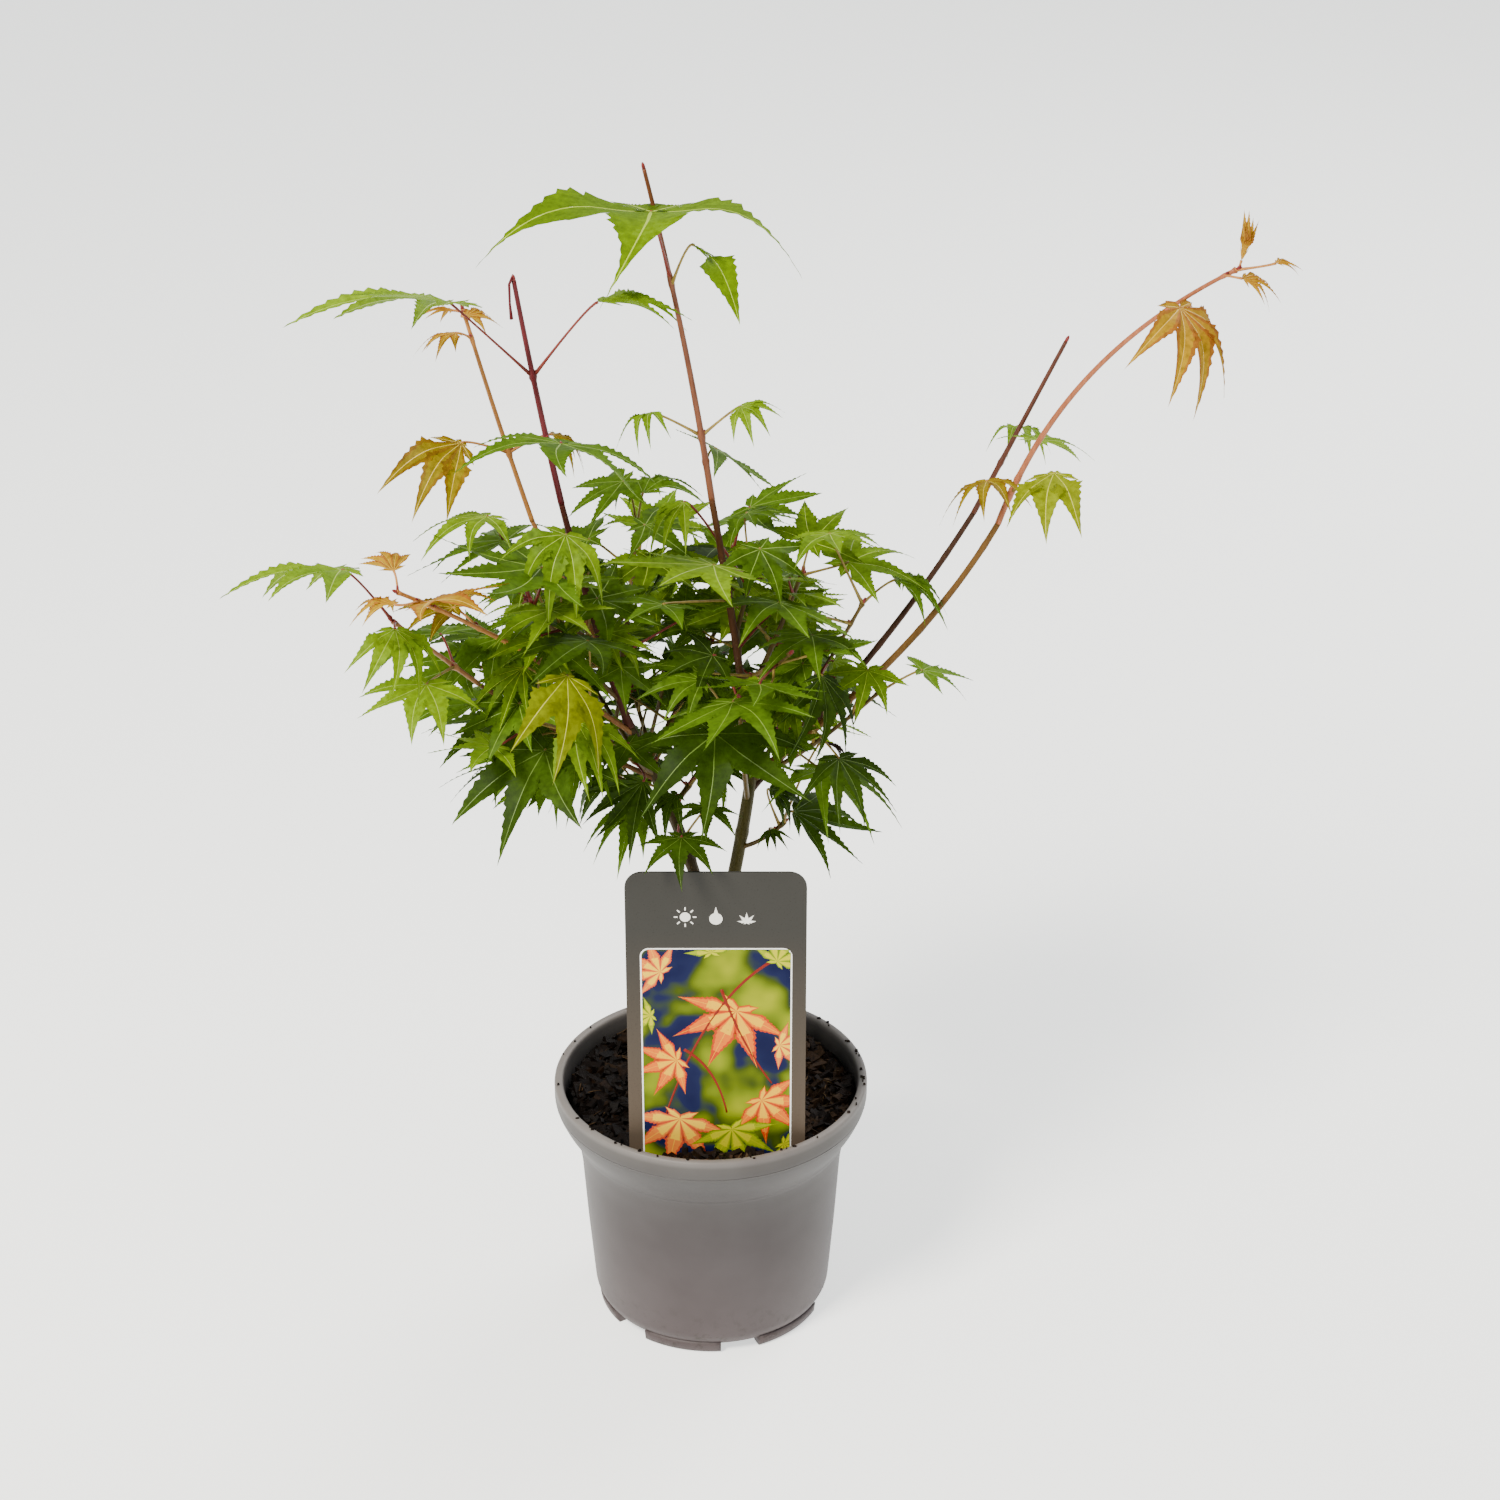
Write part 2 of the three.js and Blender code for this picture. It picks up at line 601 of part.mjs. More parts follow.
// The shoots that stand out, each on a limb from a share of its length.
// A leaf gives its share of the shoot, its stalk's compass way (0 is +X, 90 is +Y), rise and length,
// and its own size, droop, compass way and roll.
const SPRAYS = [
  {
    name: "leader_spray",
    limb: "leader_bough",
    share: 1,
    tip: [-21, -34, 507],
    bow: [3, 2, 0],
    radii: [1.15, 0.65],
    leaves: [
      [0.68, -110, 60, 35, 58, -10, -92, 0],
      [0.66, -60, 50, 26, 32, 10, -50, -5],
      [0.2, -165, 30, 22, 18, -10, -125, 20],
      [0.2, -5, 40, 19, 18, -10, -55, 15],
      [0.12, 95, 15, 14, 34, -5, -30, -20],
    ],
  },
  {
    name: "left_leader_spray",
    limb: "left_leader_bough",
    share: 1,
    tip: [-68, -35, 466],
    bow: [-1, 0, 0],
    radii: [1.1, 0.75],
    leaves: [
      [0.3, -75, 18, 28, 44, -15, -94, -8],
      [0.58, -160, 47, 44, 56, -12, -170, 20],
      [0.58, 5, 49, 37, 38, 0, 15, -10],
    ],
  },
  {
    name: "left_slender_spray",
    limb: "left_slender_bough",
    share: 1,
    tip: [-91, 13, 438],
    bow: [-1, 0, 0],
    radii: [0.85, 0.65],
    leaves: [
      [0.33, -150, 22, 21, 34, 10, -125, -20],
      [0.33, 10, 20, 18, 18, 20, 20, 0],
      [0.86, -135, 30, 9, 17, -5, -150, 10],
      [0.98, -80, 0, 5, 14, -10, 20, 0],
      [0.98, 170, 10, 5, 12, -10, -165, 0],
    ],
  },
  {
    name: "left_front_spray",
    limb: "left_front_bough",
    share: 1,
    tip: [-112, -64, 357],
    bow: [1, -1, 2],
    radii: [0.85, 0.65],
    leaves: [
      [0.4, 147, 25, 13, 25, 0, 160, 0],
      [0.72, -98, 37, 12, 34, -15, 5, -20],
      [0.85, -125, 20, 14, 18, -10, 160, 10],
      [1, 111, 60, 8, 18, -20, 115, 0],
    ],
  },
  {
    name: "left_low_spray",
    limb: "left_low_bough",
    share: 1,
    tip: [-117, -42, 335],
    bow: [1, 0, -1],
    radii: [0.85, 0.65],
    leaves: [
      [0.3, -111, 8, 24, 31, 10, -108, 0],
      [0.3, 110, 14, 20, 32, 10, 120, 0],
      [1, -167, 52, 29, 46, -6, -172, 18],
      [0.97, -67, 37, 19, 31, 0, -94, 0],
    ],
  },
  {
    name: "right_arching_spray",
    limb: "right_arching_bough",
    share: 1,
    tip: [196, 8, 455],
    bow: [-19, 14, 13],
    radii: [1.1, 0.65],
    leaves: [
      [0.1, -65, 32, 37, 34, 5, -105, 8],
      [0.08, -140, 40, 16, 25, -10, -100, 12],
      [0.14, 60, 30, 20, 26, 10, 60, 0],
      [0.8, -75, 20, 11, 38, 35, -50, -15],
      [1, 20, 60, 4, 20, -60, 60, 40],
      [1, -12, 9, 9, 12, -12, 15, 10],
      [0.97, -45, 5, 8, 17, 15, 5, 15],
    ],
  },
  {
    name: "right_second_spray",
    limb: "right_second_bough",
    share: 1,
    tip: [140, 64, 406],
    bow: [0, 0, 0],
    radii: [1.0, 0.7],
    leaves: [
      [0.3, 60, 30, 18, 20, 14, 70, 0],
    ],
  },
  {
    name: "front_spray",
    limb: "right_stem",
    share: 0.85,
    tip: [12, -36, 300],
    bow: [0, 0, -6],
    radii: [1.2, 0.75],
    leaves: [
      [0.98, -100, 24, 14, 42, -8, -98, 8],
      [0.7, -120, 26, 22, 46, 22, -92, 4],
      [0.98, 150, 55, 20, 24, 0, -150, -15],
      [0.7, -135, 54, 36, 25, 0, -170, -10],
    ],
  },
  {
    name: "centre_upper_spray",
    limb: "leader_bough",
    share: 0.5,
    tip: [17, 2, 334],
    bow: [0, 0, 0],
    radii: [1.1, 0.7],
    leaves: [
      [1, -118, 28, 35, 42, -14, -125, 0],
      [1, -80, 46, 26, 26, 30, -60, 0],
      [0.8, -120, 50, 45, 26, 20, -110, 0],
      [1, 98, 60, 24, 20, -15, -40, 0],
      [0.6, -138, 15, 43, 28, -15, -120, 0],
    ],
  },
  {
    name: "left_hanging_spray",
    limb: "left_stem",
    share: 0.8,
    tip: [-46, -40, 296],
    bow: [0, 0, -6],
    radii: [1.1, 0.75],
    leaves: [
      [0.98, -105, 50, 35, 38, 25, -85, -20],
      [0.7, -140, 8, 30, 44, 25, -118, 5],
      [0.95, -88, 80, 34, 38, -12, -110, 0],
      [0.8, -172, 42, 40, 30, 30, -140, 0],
      [0.3, -75, -5, 15, 36, 35, -150, -20],
    ],
  },
  {
    name: "left_foot_spray",
    limb: "left_stem",
    share: 0.3,
    tip: [-16, -22, 226],
    bow: [0, 0, -2],
    radii: [1.0, 0.7],
    leaves: [
      [1, -82, 48, 24, 25, 0, -100, 5],
      [0.9, -45, 65, 32, 20, 8, -80, 0],
      [0.8, -88, 75, 31, 22, 0, -125, 0],
    ],
  },
  {
    name: "right_middle_spray",
    limb: "right_stem",
    share: 0.95,
    tip: [66, -4, 286],
    bow: [0, 0, -6],
    radii: [1.1, 0.7],
    leaves: [
      [0.8, -45, 70, 24, 22, 25, -100, -5],
      [0.6, -97, 62, 42, 36, 45, -75, -30],
      [0.5, -96, 78, 54, 34, -2, -130, 8],
      [1, 20, 20, 20, 24, 15, 20, 0],
    ],
  },
  {
    name: "right_upper_spray",
    limb: "right_stem",
    share: 0.98,
    tip: [60, 10, 318],
    bow: [0, 0, -6],
    radii: [1.1, 0.7],
    leaves: [
      [0.9, -135, 29, 46, 38, -8, -70, -15],
      [1, -143, 64, 38, 27, -10, -84, 0],
      [0.5, -110, 66, 36, 32, 6, -165, 0],
      [1, 20, 30, 16, 24, 5, 10, 0],
    ],
  },
  {
    name: "left_upper_spray",
    limb: "left_leader_bough",
    share: 0.12,
    tip: [-66, -24, 334],
    bow: [0, 0, -4],
    radii: [1.1, 0.7],
    leaves: [
      [0.98, -72, 56, 27, 46, -12, -150, 0],
      [0.9, -54, 65, 44, 30, 25, -108, -15],
      [1, 149, 58, 37, 30, -5, -145, 10],
      [0.7, 144, 54, 42, 40, 13, 150, 0],
    ],
  },
  {
    name: "right_low_spray",
    limb: "right_stem",
    share: 0.6,
    tip: [30, -8, 231],
    bow: [0, 0, -4],
    radii: [1.0, 0.7],
    leaves: [
      [1, -68, 53, 12, 40, 22, 5, 15],
      [0.8, -95, 35, 15, 14, -5, -85, 15],
      [0.9, -120, 68, 22, 18, 20, 0, 25],
      [0.95, 35, 50, 34, 18, 20, 4, 0],
    ],
  },
];

// A mass that starts as one stem from a limb
function startMass(name, seed, stem) {
  addStem(stem);
  return { name, seed, twigs: [{ ...stem, bud: BUD_LENGTH }], leaves: [] };
}

// A shoot with its leaves, each of which may shift a little to sit clear of all that is placed
const POSED_TRIES = 12;
function growSpray(spec, seed) {
  const foot = limbs.get(spec.limb).curve.getPoint(spec.share);
  const curve = bowed(foot, at(...spec.tip), at(...spec.bow));
  const mass = startMass(spec.name, seed, { curve, base: spec.radii[0], tip: spec.radii[1] });
  spec.leaves.forEach((leaf, count) => {
    const [share, compass, rise, stalk, size, droop, facing, roll] = leaf;
    const root = curve.getPoint(share);
    for (let turn = 0; turn < POSED_TRIES; turn++) {
      const ease = (3 * turn) / POSED_TRIES;
      const draw = (k, spread) => ease * between(seed, count * 101 + turn * 11 + k, -spread, spread);
      const way = heading(compass + draw(0, 12), rise + draw(1, 12));
      const base = root.clone().addScaledVector(way, stalk + draw(2, 4));
      const forward = heading(facing + draw(3, 14), -droop + draw(4, 12));
      const frame = leafFrame(base, forward, radians(roll + draw(5, 12)), size * (1 - 0.06 * ease));
      const place = leafBulk(root, frame);
      if (!taken.some((other) => crosses(place, other))) {
        taken.push(place);
        mass.leaves.push({ root, frame });
        break;
      }
    }
  });
  return mass;
}

// A crown branch: leaf pairs, each square to the last, some on short side twigs, and one leaf at its tip
const SIDE_TWIG_CHANCE = 0.42;
function growBranch(name, seed, stem, tier) {
  const { curve } = stem;
  const mass = startMass(name, seed, stem);
  let count = 0;
  for (let i = 0; i < tier.pairs; i++) {
    const share = 0.26 + (0.72 * i) / (tier.pairs - 1);
    const root = curve.getPoint(share);
    const direction = curve.getTangent(share);
    const turn = (i % 2) * (Math.PI / 2) + between(seed, 900 + i, -0.3, 0.3);
    [0, Math.PI].forEach((half) => {
      const way = pairWay(direction, turn + half, between(seed, 930 + count, 50, 78));
      const size = tier.leaf * between(seed, 960 + count, 0.62, 1.12);
      const twig = chance(seed, 990 + count) < SIDE_TWIG_CHANCE && share < 0.9;
      if (!twig || !growTwig(mass, root, way, size, tier.droop, count)) {
        placeLeaf(mass, root, way, size * 0.65, size, tier.droop, count);
      }
      count += 1;
    });
  }
  placeLeaf(mass, curve.v2.clone(), curve.getTangent(1), tier.leaf * 0.35, tier.leaf * 0.85, tier.droop, 50);
  return mass;
}

// A side twig with a pair of leaves at its tip and one straight ahead; true where it found room
function growTwig(mass, root, way, size, droop, count) {
  const length = between(mass.seed, 1020 + count, 18, 30);
  const lifted = way.clone().addScaledVector(UP, 0.25).normalize();
  const tip = root.clone().addScaledVector(lifted, length);
  const twig = { curve: bowed(root.clone(), tip), base: 0.85, tip: 0.75, bud: BUD_LENGTH };
  if (!roomFor([tip]) || stemBlocked(twig)) return false;
  addStem(twig);
  mass.twigs.push(twig);
  const [side] = squareTo(lifted, lifted);
  [1, -1].forEach((half, k) => {
    const spread = lifted.clone().multiplyScalar(0.6).addScaledVector(side, half);
    placeLeaf(mass, tip, spread.normalize(), size * 0.42, size * 0.9, droop, 60 + count * 3 + k);
  });
  placeLeaf(mass, tip, lifted, size * 0.4, size * 0.82, droop, 62 + count * 3);
  return true;
}

// The limb that a crown branch leaves: the nearest point of the stems and boughs to where it would start
const CROWN_PARENTS = ["right_stem", "left_stem", "leader_bough", "left_leader_bough", "right_arching_bough"];
function crownFoot(height, compass) {
  const wanted = at(CROWN_MIDDLE.x + 18 * Math.cos(compass), CROWN_MIDDLE.y + 10 * Math.sin(compass), height);
  let best = null;
  CROWN_PARENTS.forEach((name) => {
    const { curve } = limbs.get(name);
    for (let i = 1; i < 20; i++) {
      const point = curve.getPoint(i / 20);
      if (!best || point.distanceTo(wanted) < best.distanceTo(wanted)) best = point;
    }
  });
  return best;
}

// The stem of a crown branch, turned and raised a little until it passes clear of all others
const STEM_TRIES = 16;
function crownStem(tier, seed, compass) {
  let stem = null;
  for (let turn = 0; turn < STEM_TRIES; turn++) {
    const ease = turn / STEM_TRIES;
    const draw = (k, low, high) => between(seed, 11 * turn + k, low, high);
    const way = compass + radians(draw(1, -12, 12) * (1 + 3 * ease));
    const foot = crownFoot(tier.root + draw(2, -10, 10) * (1 + ease), way);
    const reach = tier.reach * draw(3, 0.9, 1.1);
    const height = tier.root + tier.rise * draw(4, 0.8 - 0.5 * ease, 1.2 + 0.5 * ease);
    const tip = at(CROWN_MIDDLE.x + reach * Math.cos(way), CROWN_MIDDLE.y + reach * Math.sin(way), height);
    stem = { curve: bowed(foot, tip, at(0, 0, -4)), base: 1.25, tip: 0.8 };
    if (!stemBlocked(stem)) return stem;
  }
  return stem;
}

// All masses, the long shoots first, so that the crown fills the room that they leave
const masses = SPRAYS.map((spec, k) => growSpray(spec, 11 + k));
CROWN_TIERS.forEach((tier, row) => {
  for (let i = 0; i < tier.count; i++) {
    const seed = 101 + 20 * row + i;
    const stem = crownStem(tier, seed, radians(tier.turn + (tier.span * i) / tier.count));
    masses.push(growBranch(`${tier.name}_foliage_${i + 1}`, seed, stem, tier));
  }
});

// The finished pieces
const BARK = new THREE.MeshStandardMaterial({ color: 0x6e4a2c, roughness: 0.75, metalness: 0 });
const LEAF = new THREE.MeshStandardMaterial({ color: 0x3f7d1c, roughness: 0.55, metalness: 0 });
const YOUNG_LEAF = new THREE.MeshStandardMaterial({ color: 0xc08a3a, roughness: 0.55, metalness: 0 });
const POT_PLASTIC = new THREE.MeshStandardMaterial({ color: 0x8a8486, roughness: 0.5, metalness: 0 });
const MIX = new THREE.MeshStandardMaterial({ color: 0x2a1f19, roughness: 0.95, metalness: 0 });
const CARD = new THREE.MeshStandardMaterial({ color: 0x625d5b, roughness: 0.4, metalness: 0 });

const YOUNG_MASSES = ["left_front_spray", "right_arching_spray"];

const group = new THREE.Group();

function addPiece(name, solid, material) {
  const { vertProperties, triVerts, numProp } = solid.getMesh();
  const position = new Float32Array((vertProperties.length / numProp) * 3);
  for (let i = 0; i < position.length / 3; i++) {
    position.set(vertProperties.subarray(i * numProp, i * numProp + 3), i * 3);
  }
  const geometry = new THREE.BufferGeometry();
  geometry.setAttribute("position", new THREE.BufferAttribute(position, 3));
  geometry.setIndex(new THREE.BufferAttribute(new Uint32Array(triVerts), 1));
  geometry.computeVertexNormals();
  const mesh = new THREE.Mesh(geometry, material);
  mesh.name = name;
  group.add(mesh);
}

addPiece("pot", potSolid(), POT_PLASTIC);
addPiece("potting_mix", soilSolid(), MIX);
addPiece("label", labelSolid(), CARD);

// Each limb is cut clear of the limbs before it
const grownLimbs = [];
limbs.forEach((limb) => {
  const whole = tube(limb, LIMB_SIDES, LIMB_STEPS);
  const solid = largest(grownLimbs.reduce((rest, grown) => rest.subtract(grown), whole));
  grownLimbs.push(tube(limb, LIMB_SIDES, LIMB_STEPS, GAP));
  addPiece(limb.name, solid, BARK);
});
const allLimbs = Manifold.union(grownLimbs);

// How much two solids share
function shared(one, other) {
  const [a, b] = [one.boundingBox(), other.boundingBox()];
  if ([0, 1, 2].some((k) => a.min[k] > b.max[k] || b.min[k] > a.max[k])) return 0;
  const common = one.intersect(other);
  const volume = common.volume();
  common.delete();
  return volume;
}

// A solid's points and triangles, with points closer than a thousandth of a millimetre made one
function merged(solid) {
  const { vertProperties, triVerts, numProp } = solid.getMesh();
  const seen = new Map();
  const points = [];
  const order = [];
  for (let i = 0; i < vertProperties.length; i += numProp) {
    const [x, y, z] = [0, 1, 2].map((k) => Math.round(vertProperties[i + k] * 1e3) / 1e3);
    const key = `${x},${y},${z}`;
    if (!seen.has(key)) seen.set(key, points.push(at(x, y, z)) - 1);
    order.push(seen.get(key));
  }
  return { points, triangles: [...triVerts].map((p) => order[p]) };
}

// True where a solid stays one closed body when its close points are made one
function isSound(solid) {
  const { points, triangles } = merged(solid);
  const edges = new Map();
  for (let i = 0; i < triangles.length; i += 3) {
    const corners = triangles.slice(i, i + 3);
    if (new Set(corners).size < 3) return false;
    corners.forEach((p, k) => {
      const edge = p * points.length + corners[(k + 1) % 3];
      edges.set(edge, (edges.get(edge) ?? 0) + 1);
    });
  }
  return [...edges.values()].every((uses) => uses === 1);
}

// How many steps a twig takes: more where it bends more
function twigSteps({ curve }) {
  const middle = curve.v0.clone().add(curve.v2).multiplyScalar(0.5);
  return STRAIGHT_STEPS + Math.round(STEPS_PER_BOW * middle.distanceTo(curve.v1));
}

// Each mass is fused into one solid; a leaf that still touches a limb or another mass is left out
const TOUCH = 3;
const fusedMasses = [];
masses.forEach((mass) => {
  const cut = (raw) => {
    const neighbours = fusedMasses.filter((other) => shared(raw, other) > 0);
    return largest(neighbours.reduce((rest, other) => rest.subtract(other), raw.subtract(allLimbs)));
  };
  const twigs = (spin) =>
    Manifold.union(mass.twigs.map((twig) => tube(twig, TWIG_SIDES, twigSteps(twig), 0, spin)));
  const spin = [0, 0.2, 0.4, 0.6, 0.8].find((angle) => isSound(cut(twigs(angle)))) ?? 0;
  let whole = twigs(spin);
  let solid = cut(whole);
  mass.leaves.forEach((leaf) => {
    const one = leafSolid(leaf);
    if (shared(one, allLimbs) > TOUCH || fusedMasses.some((other) => shared(one, other) > 0)) return;
    const grown = whole.add(one);
    const trimmed = cut(grown);
    if (!isSound(trimmed) || trimmed.volume() < solid.volume() + one.volume() / 2) return;
    [whole, solid] = [grown, trimmed];
  });
  fusedMasses.push(solid);
  addPiece(mass.name, solid, YOUNG_MASSES.includes(mass.name) ? YOUNG_LEAF : LEAF);
});

export default group;
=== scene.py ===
# %% [markdown]
# # A potted Japanese maple
#
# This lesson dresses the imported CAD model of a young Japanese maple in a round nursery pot. The CAD model has
# faceted stems and five-cornered leaves. Here the same seeded rule grows the plant again, with round bark,
# toothed leaves with ribs, finer twigs and buds. The pot, the potting mix and the label follow in their own
# cells. All sizes are in millimetres until a mesh is made.

import math

import bmesh
import bpy
import numpy as np
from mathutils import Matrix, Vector


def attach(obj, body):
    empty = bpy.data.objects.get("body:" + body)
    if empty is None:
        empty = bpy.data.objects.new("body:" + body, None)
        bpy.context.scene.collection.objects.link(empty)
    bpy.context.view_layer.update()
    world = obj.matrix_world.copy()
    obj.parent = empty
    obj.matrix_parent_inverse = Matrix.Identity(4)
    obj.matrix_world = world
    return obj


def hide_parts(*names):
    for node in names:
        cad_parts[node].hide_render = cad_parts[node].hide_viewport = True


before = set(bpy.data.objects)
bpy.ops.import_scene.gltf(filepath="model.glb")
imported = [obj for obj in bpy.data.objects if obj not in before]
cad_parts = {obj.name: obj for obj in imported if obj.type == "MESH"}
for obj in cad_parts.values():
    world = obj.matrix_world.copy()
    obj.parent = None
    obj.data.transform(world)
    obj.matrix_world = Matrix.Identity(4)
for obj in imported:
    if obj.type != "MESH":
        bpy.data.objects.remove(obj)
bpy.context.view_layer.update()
print("nodes in the frame:", len(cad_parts))

# %% [markdown]
# ## Small helpers
#
# A colour is written as sRGB hex, and one function turns it into Blender's linear numbers.
# Another adds a shader node. Each piece could be built with Blender's edit tools, one leaf at a time, but a
# plant has hundreds of leaves. So small shapes are worked out as arrays of points, `Gathered` joins all those
# of one material, and `piece` turns them into one object of the plant.

# %% Colours and shader nodes
MM = 0.001


def linear(hexa):
    """A colour written as sRGB hex, as the linear numbers that Blender uses."""
    parts = [int(hexa[k : k + 2], 16) / 255 for k in (1, 3, 5)]
    return [c / 12.92 if c <= 0.04045 else ((c + 0.055) / 1.055) ** 2.4 for c in parts] + [1.0]


def add_node(tree, kind, sockets=None, **properties):
    """Adds a shader node; a socket takes a value, or another node's output."""
    made = tree.nodes.new(kind)
    for name, value in properties.items():
        setattr(made, name, value)
    for name, value in (sockets or {}).items():
        if isinstance(value, bpy.types.NodeSocket):
            tree.links.new(value, made.inputs[name])
        else:
            made.inputs[name].default_value = value
    return made


def new_material(name, **sockets):
    """A material with one Principled shader, and its node tree and shader."""
    material = bpy.data.materials.new(name)
    material.use_nodes = True
    shader = material.node_tree.nodes["Principled BSDF"]
    for key, value in sockets.items():
        shader.inputs[key.replace("_", " ")].default_value = value
    return material, material.node_tree, shader


print("a leaf's green in linear numbers:", [round(c, 3) for c in linear("#5c7e10")[:3]])


# %% Patterns for materials
def noise(tree, size, detail=3.0, stretch=(1, 1, 1), roughness=0.55):
    """Noise whose patches are about `size` mm wide, drawn out along an axis where stretch is under 1."""
    place = add_node(tree, "ShaderNodeTexCoord").outputs["Object"]
    scaled = add_node(tree, "ShaderNodeMapping", {"Vector": place, "Scale": stretch})
    scale = {"Scale": 1 / (size * MM), "Detail": detail, "Roughness": roughness}
    return add_node(tree, "ShaderNodeTexNoise", {"Vector": scaled.outputs[0], **scale}).outputs["Fac"]


def along_axis(tree, axis, low, high, first=0.0, last=1.0):
    """A value that runs from first to last between two places (mm) on an axis."""
    place = add_node(tree, "ShaderNodeTexCoord").outputs["Object"]
    value = add_node(tree, "ShaderNodeSeparateXYZ", {0: place}).outputs[axis]
    sockets = {"Value": value, "From Min": low * MM, "From Max": high * MM, "To Min": first, "To Max": last}
    return add_node(tree, "ShaderNodeMapRange", sockets).outputs[0]


def mixed(tree, factor, one, other, blend="MIX"):
    """Two colours mixed; one, other and factor are values or outputs."""
    sockets = {0: factor, 6: one, 7: other}
    return add_node(tree, "ShaderNodeMix", sockets, data_type="RGBA", blend_type=blend).outputs[2]


def multiplied(tree, first, second):
    """Two colours multiplied."""
    return mixed(tree, 1.0, first, second, "MULTIPLY")


def ramp(tree, factor, *stops):
    """A colour ramp with (position, hex) stops."""
    made = add_node(tree, "ShaderNodeValToRGB", {"Fac": factor})
    elements = made.color_ramp.elements
    while len(elements) < len(stops):
        elements.new(1.0)
    for element, (position, hexa) in zip(elements, stops):
        element.position = position
        element.color = linear(hexa)
    return made.outputs["Color"]


def bump(tree, shader, height, depth, strength):
    """Relief of about `depth` mm from a height pattern."""
    sockets = {"Height": height, "Distance": depth * MM, "Strength": strength}
    tree.links.new(add_node(tree, "ShaderNodeBump", sockets).outputs[0], shader.inputs["Normal"])


print("noise patches of 3 mm have scale", round(1 / (3 * MM)))


# %% Shapes and pieces
class Gathered:
    """Points (mm) and faces of many small shapes, joined into one mesh."""

    def __init__(self, shapes=()):
        self.points, self.faces, self.count = [], [], 0
        for shape in shapes:
            self.add(*shape)

    def add(self, points, *faces):
        """Adds a shape; points that no face uses are left out."""
        faces = [np.asarray(f) for f in faces]
        used = np.unique(np.concatenate([f.ravel() for f in faces]))
        self.points.append(np.asarray(points)[used])
        self.faces += [np.searchsorted(used, f) + self.count for f in faces]
        self.count += len(used)


def piece(name, shape, material, slot, replaces=(), smooth=True, weld=False):
    """An object of the plant from gathered shapes; weld joins points that lie on each other."""
    mesh = bpy.data.meshes.new(name)
    points = np.concatenate(shape.points) * MM
    mesh.from_pydata(points.tolist(), [], [f for rows in shape.faces for f in rows.tolist()])
    if weld:
        welded = bmesh.new()
        welded.from_mesh(mesh)
        bmesh.ops.remove_doubles(welded, verts=welded.verts, dist=0.002 * MM)
        welded.to_mesh(mesh)
        welded.free()
    mesh.polygons.foreach_set("use_smooth", [smooth] * len(mesh.polygons))
    mesh.materials.append(material)
    made = bpy.data.objects.new(name, mesh)
    bpy.context.scene.collection.objects.link(made)
    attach(made, "root")
    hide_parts(*replaces)
    triangles = sum(len(rows) * (rows.shape[1] - 2) for rows in shape.faces)
    print(f"{name}: {triangles} triangles")
    return made


print("shapes gathered so far:", Gathered().count)

# %% [markdown]
# ## The rule that grows the plant
#
# Leaves could be scattered with a particle system or geometry nodes, but those wouldn't repeat the CAD
# model's growth leaf for leaf. So this is the rule of the CAD source, written again. Limbs are quadratic
# curves from named sizes. Long posed shoots come first, then a crown of short branches in three tiers. Each
# leaf tries a few seeded ways to sit clear of all that is already placed, and is left out where none fits.

# %% Directions and chances
UP = np.array([0.0, 0.0, 1.0])


def vec(x, y, z):
    return np.array([x, y, z], float)


def unit(v):
    """v at length 1."""
    return v / np.linalg.norm(v)


def heading(compass, rise):
    """The direction of a compass way (0 is +X, 90 is +Y) and a rise, in degrees."""
    turn, lift = math.radians(compass), math.radians(rise)
    return vec(math.cos(lift) * math.cos(turn), math.cos(lift) * math.sin(turn), math.sin(lift))


def chance(seed, count):
    """A fixed number from 0 to 1 for a seed and a count; large odd numbers stir their bits."""
    whole = 0xFFFFFFFF
    h = (seed * 0x9E3779B1 ^ (count + 1) * 0x85EBCA6B) & whole
    h = ((h ^ (h >> 15)) * 0x2C1B3C6D) & whole
    h = ((h ^ (h >> 12)) * 0x297A2D39) & whole
    return (h ^ (h >> 15)) / 4294967296


def between(seed, count, low, high):
    """A fixed number from low to high for a seed and a count."""
    return low + (high - low) * chance(seed, count)


print("the first chances of seed 11:", [round(chance(11, k), 3) for k in range(4)])


# %% Curves and stems
def curve(foot, handle, tip, t):
    """A point of a quadratic curve, at a share t of its way."""
    return (1 - t) ** 2 * foot + 2 * (1 - t) * t * handle + t * t * tip


def turned(v, axis, angle):
    """v turned about a unit axis."""
    c, s = math.cos(angle), math.sin(angle)
    return v * c + np.cross(axis, v) * s + axis * (axis @ v) * (1 - c)


def square_to(direction, chord):
    """Two directions square to a limb, which stay steady along it."""
    steady = vec(1, 0, 0) if abs(chord[2]) > 0.8 else UP
    side = unit(np.cross(steady, direction))
    return side, np.cross(direction, side)


class Stem:
    """A round tapering limb along a quadratic curve."""

    def __init__(self, foot, tip, bow=(0, 0, 0), base=1.0, end=0.8, flare=0.0):
        self.foot, self.tip = np.array(foot, float), np.array(tip, float)
        self.handle = (self.foot + self.tip) / 2 + np.array(bow, float)
        self.base, self.end, self.flare = base, end, flare
        self.nodes = []

    def point(self, t):
        return curve(self.foot, self.handle, self.tip, t)

    def tangent(self, t):
        return unit(self.point(min(1, t + 1e-4)) - self.point(max(0, t - 1e-4)))

    def radius(self, t):
        return self.base + (self.end - self.base) * t

    def length(self):
        line = [self.point(t) for t in np.linspace(0, 1, 13)]
        return sum(np.linalg.norm(b - a) for a, b in zip(line, line[1:]))


print("middle of a bowed stem:", Stem((0, 0, 0), (0, 0, 10), (2, 0, 0)).point(0.5))

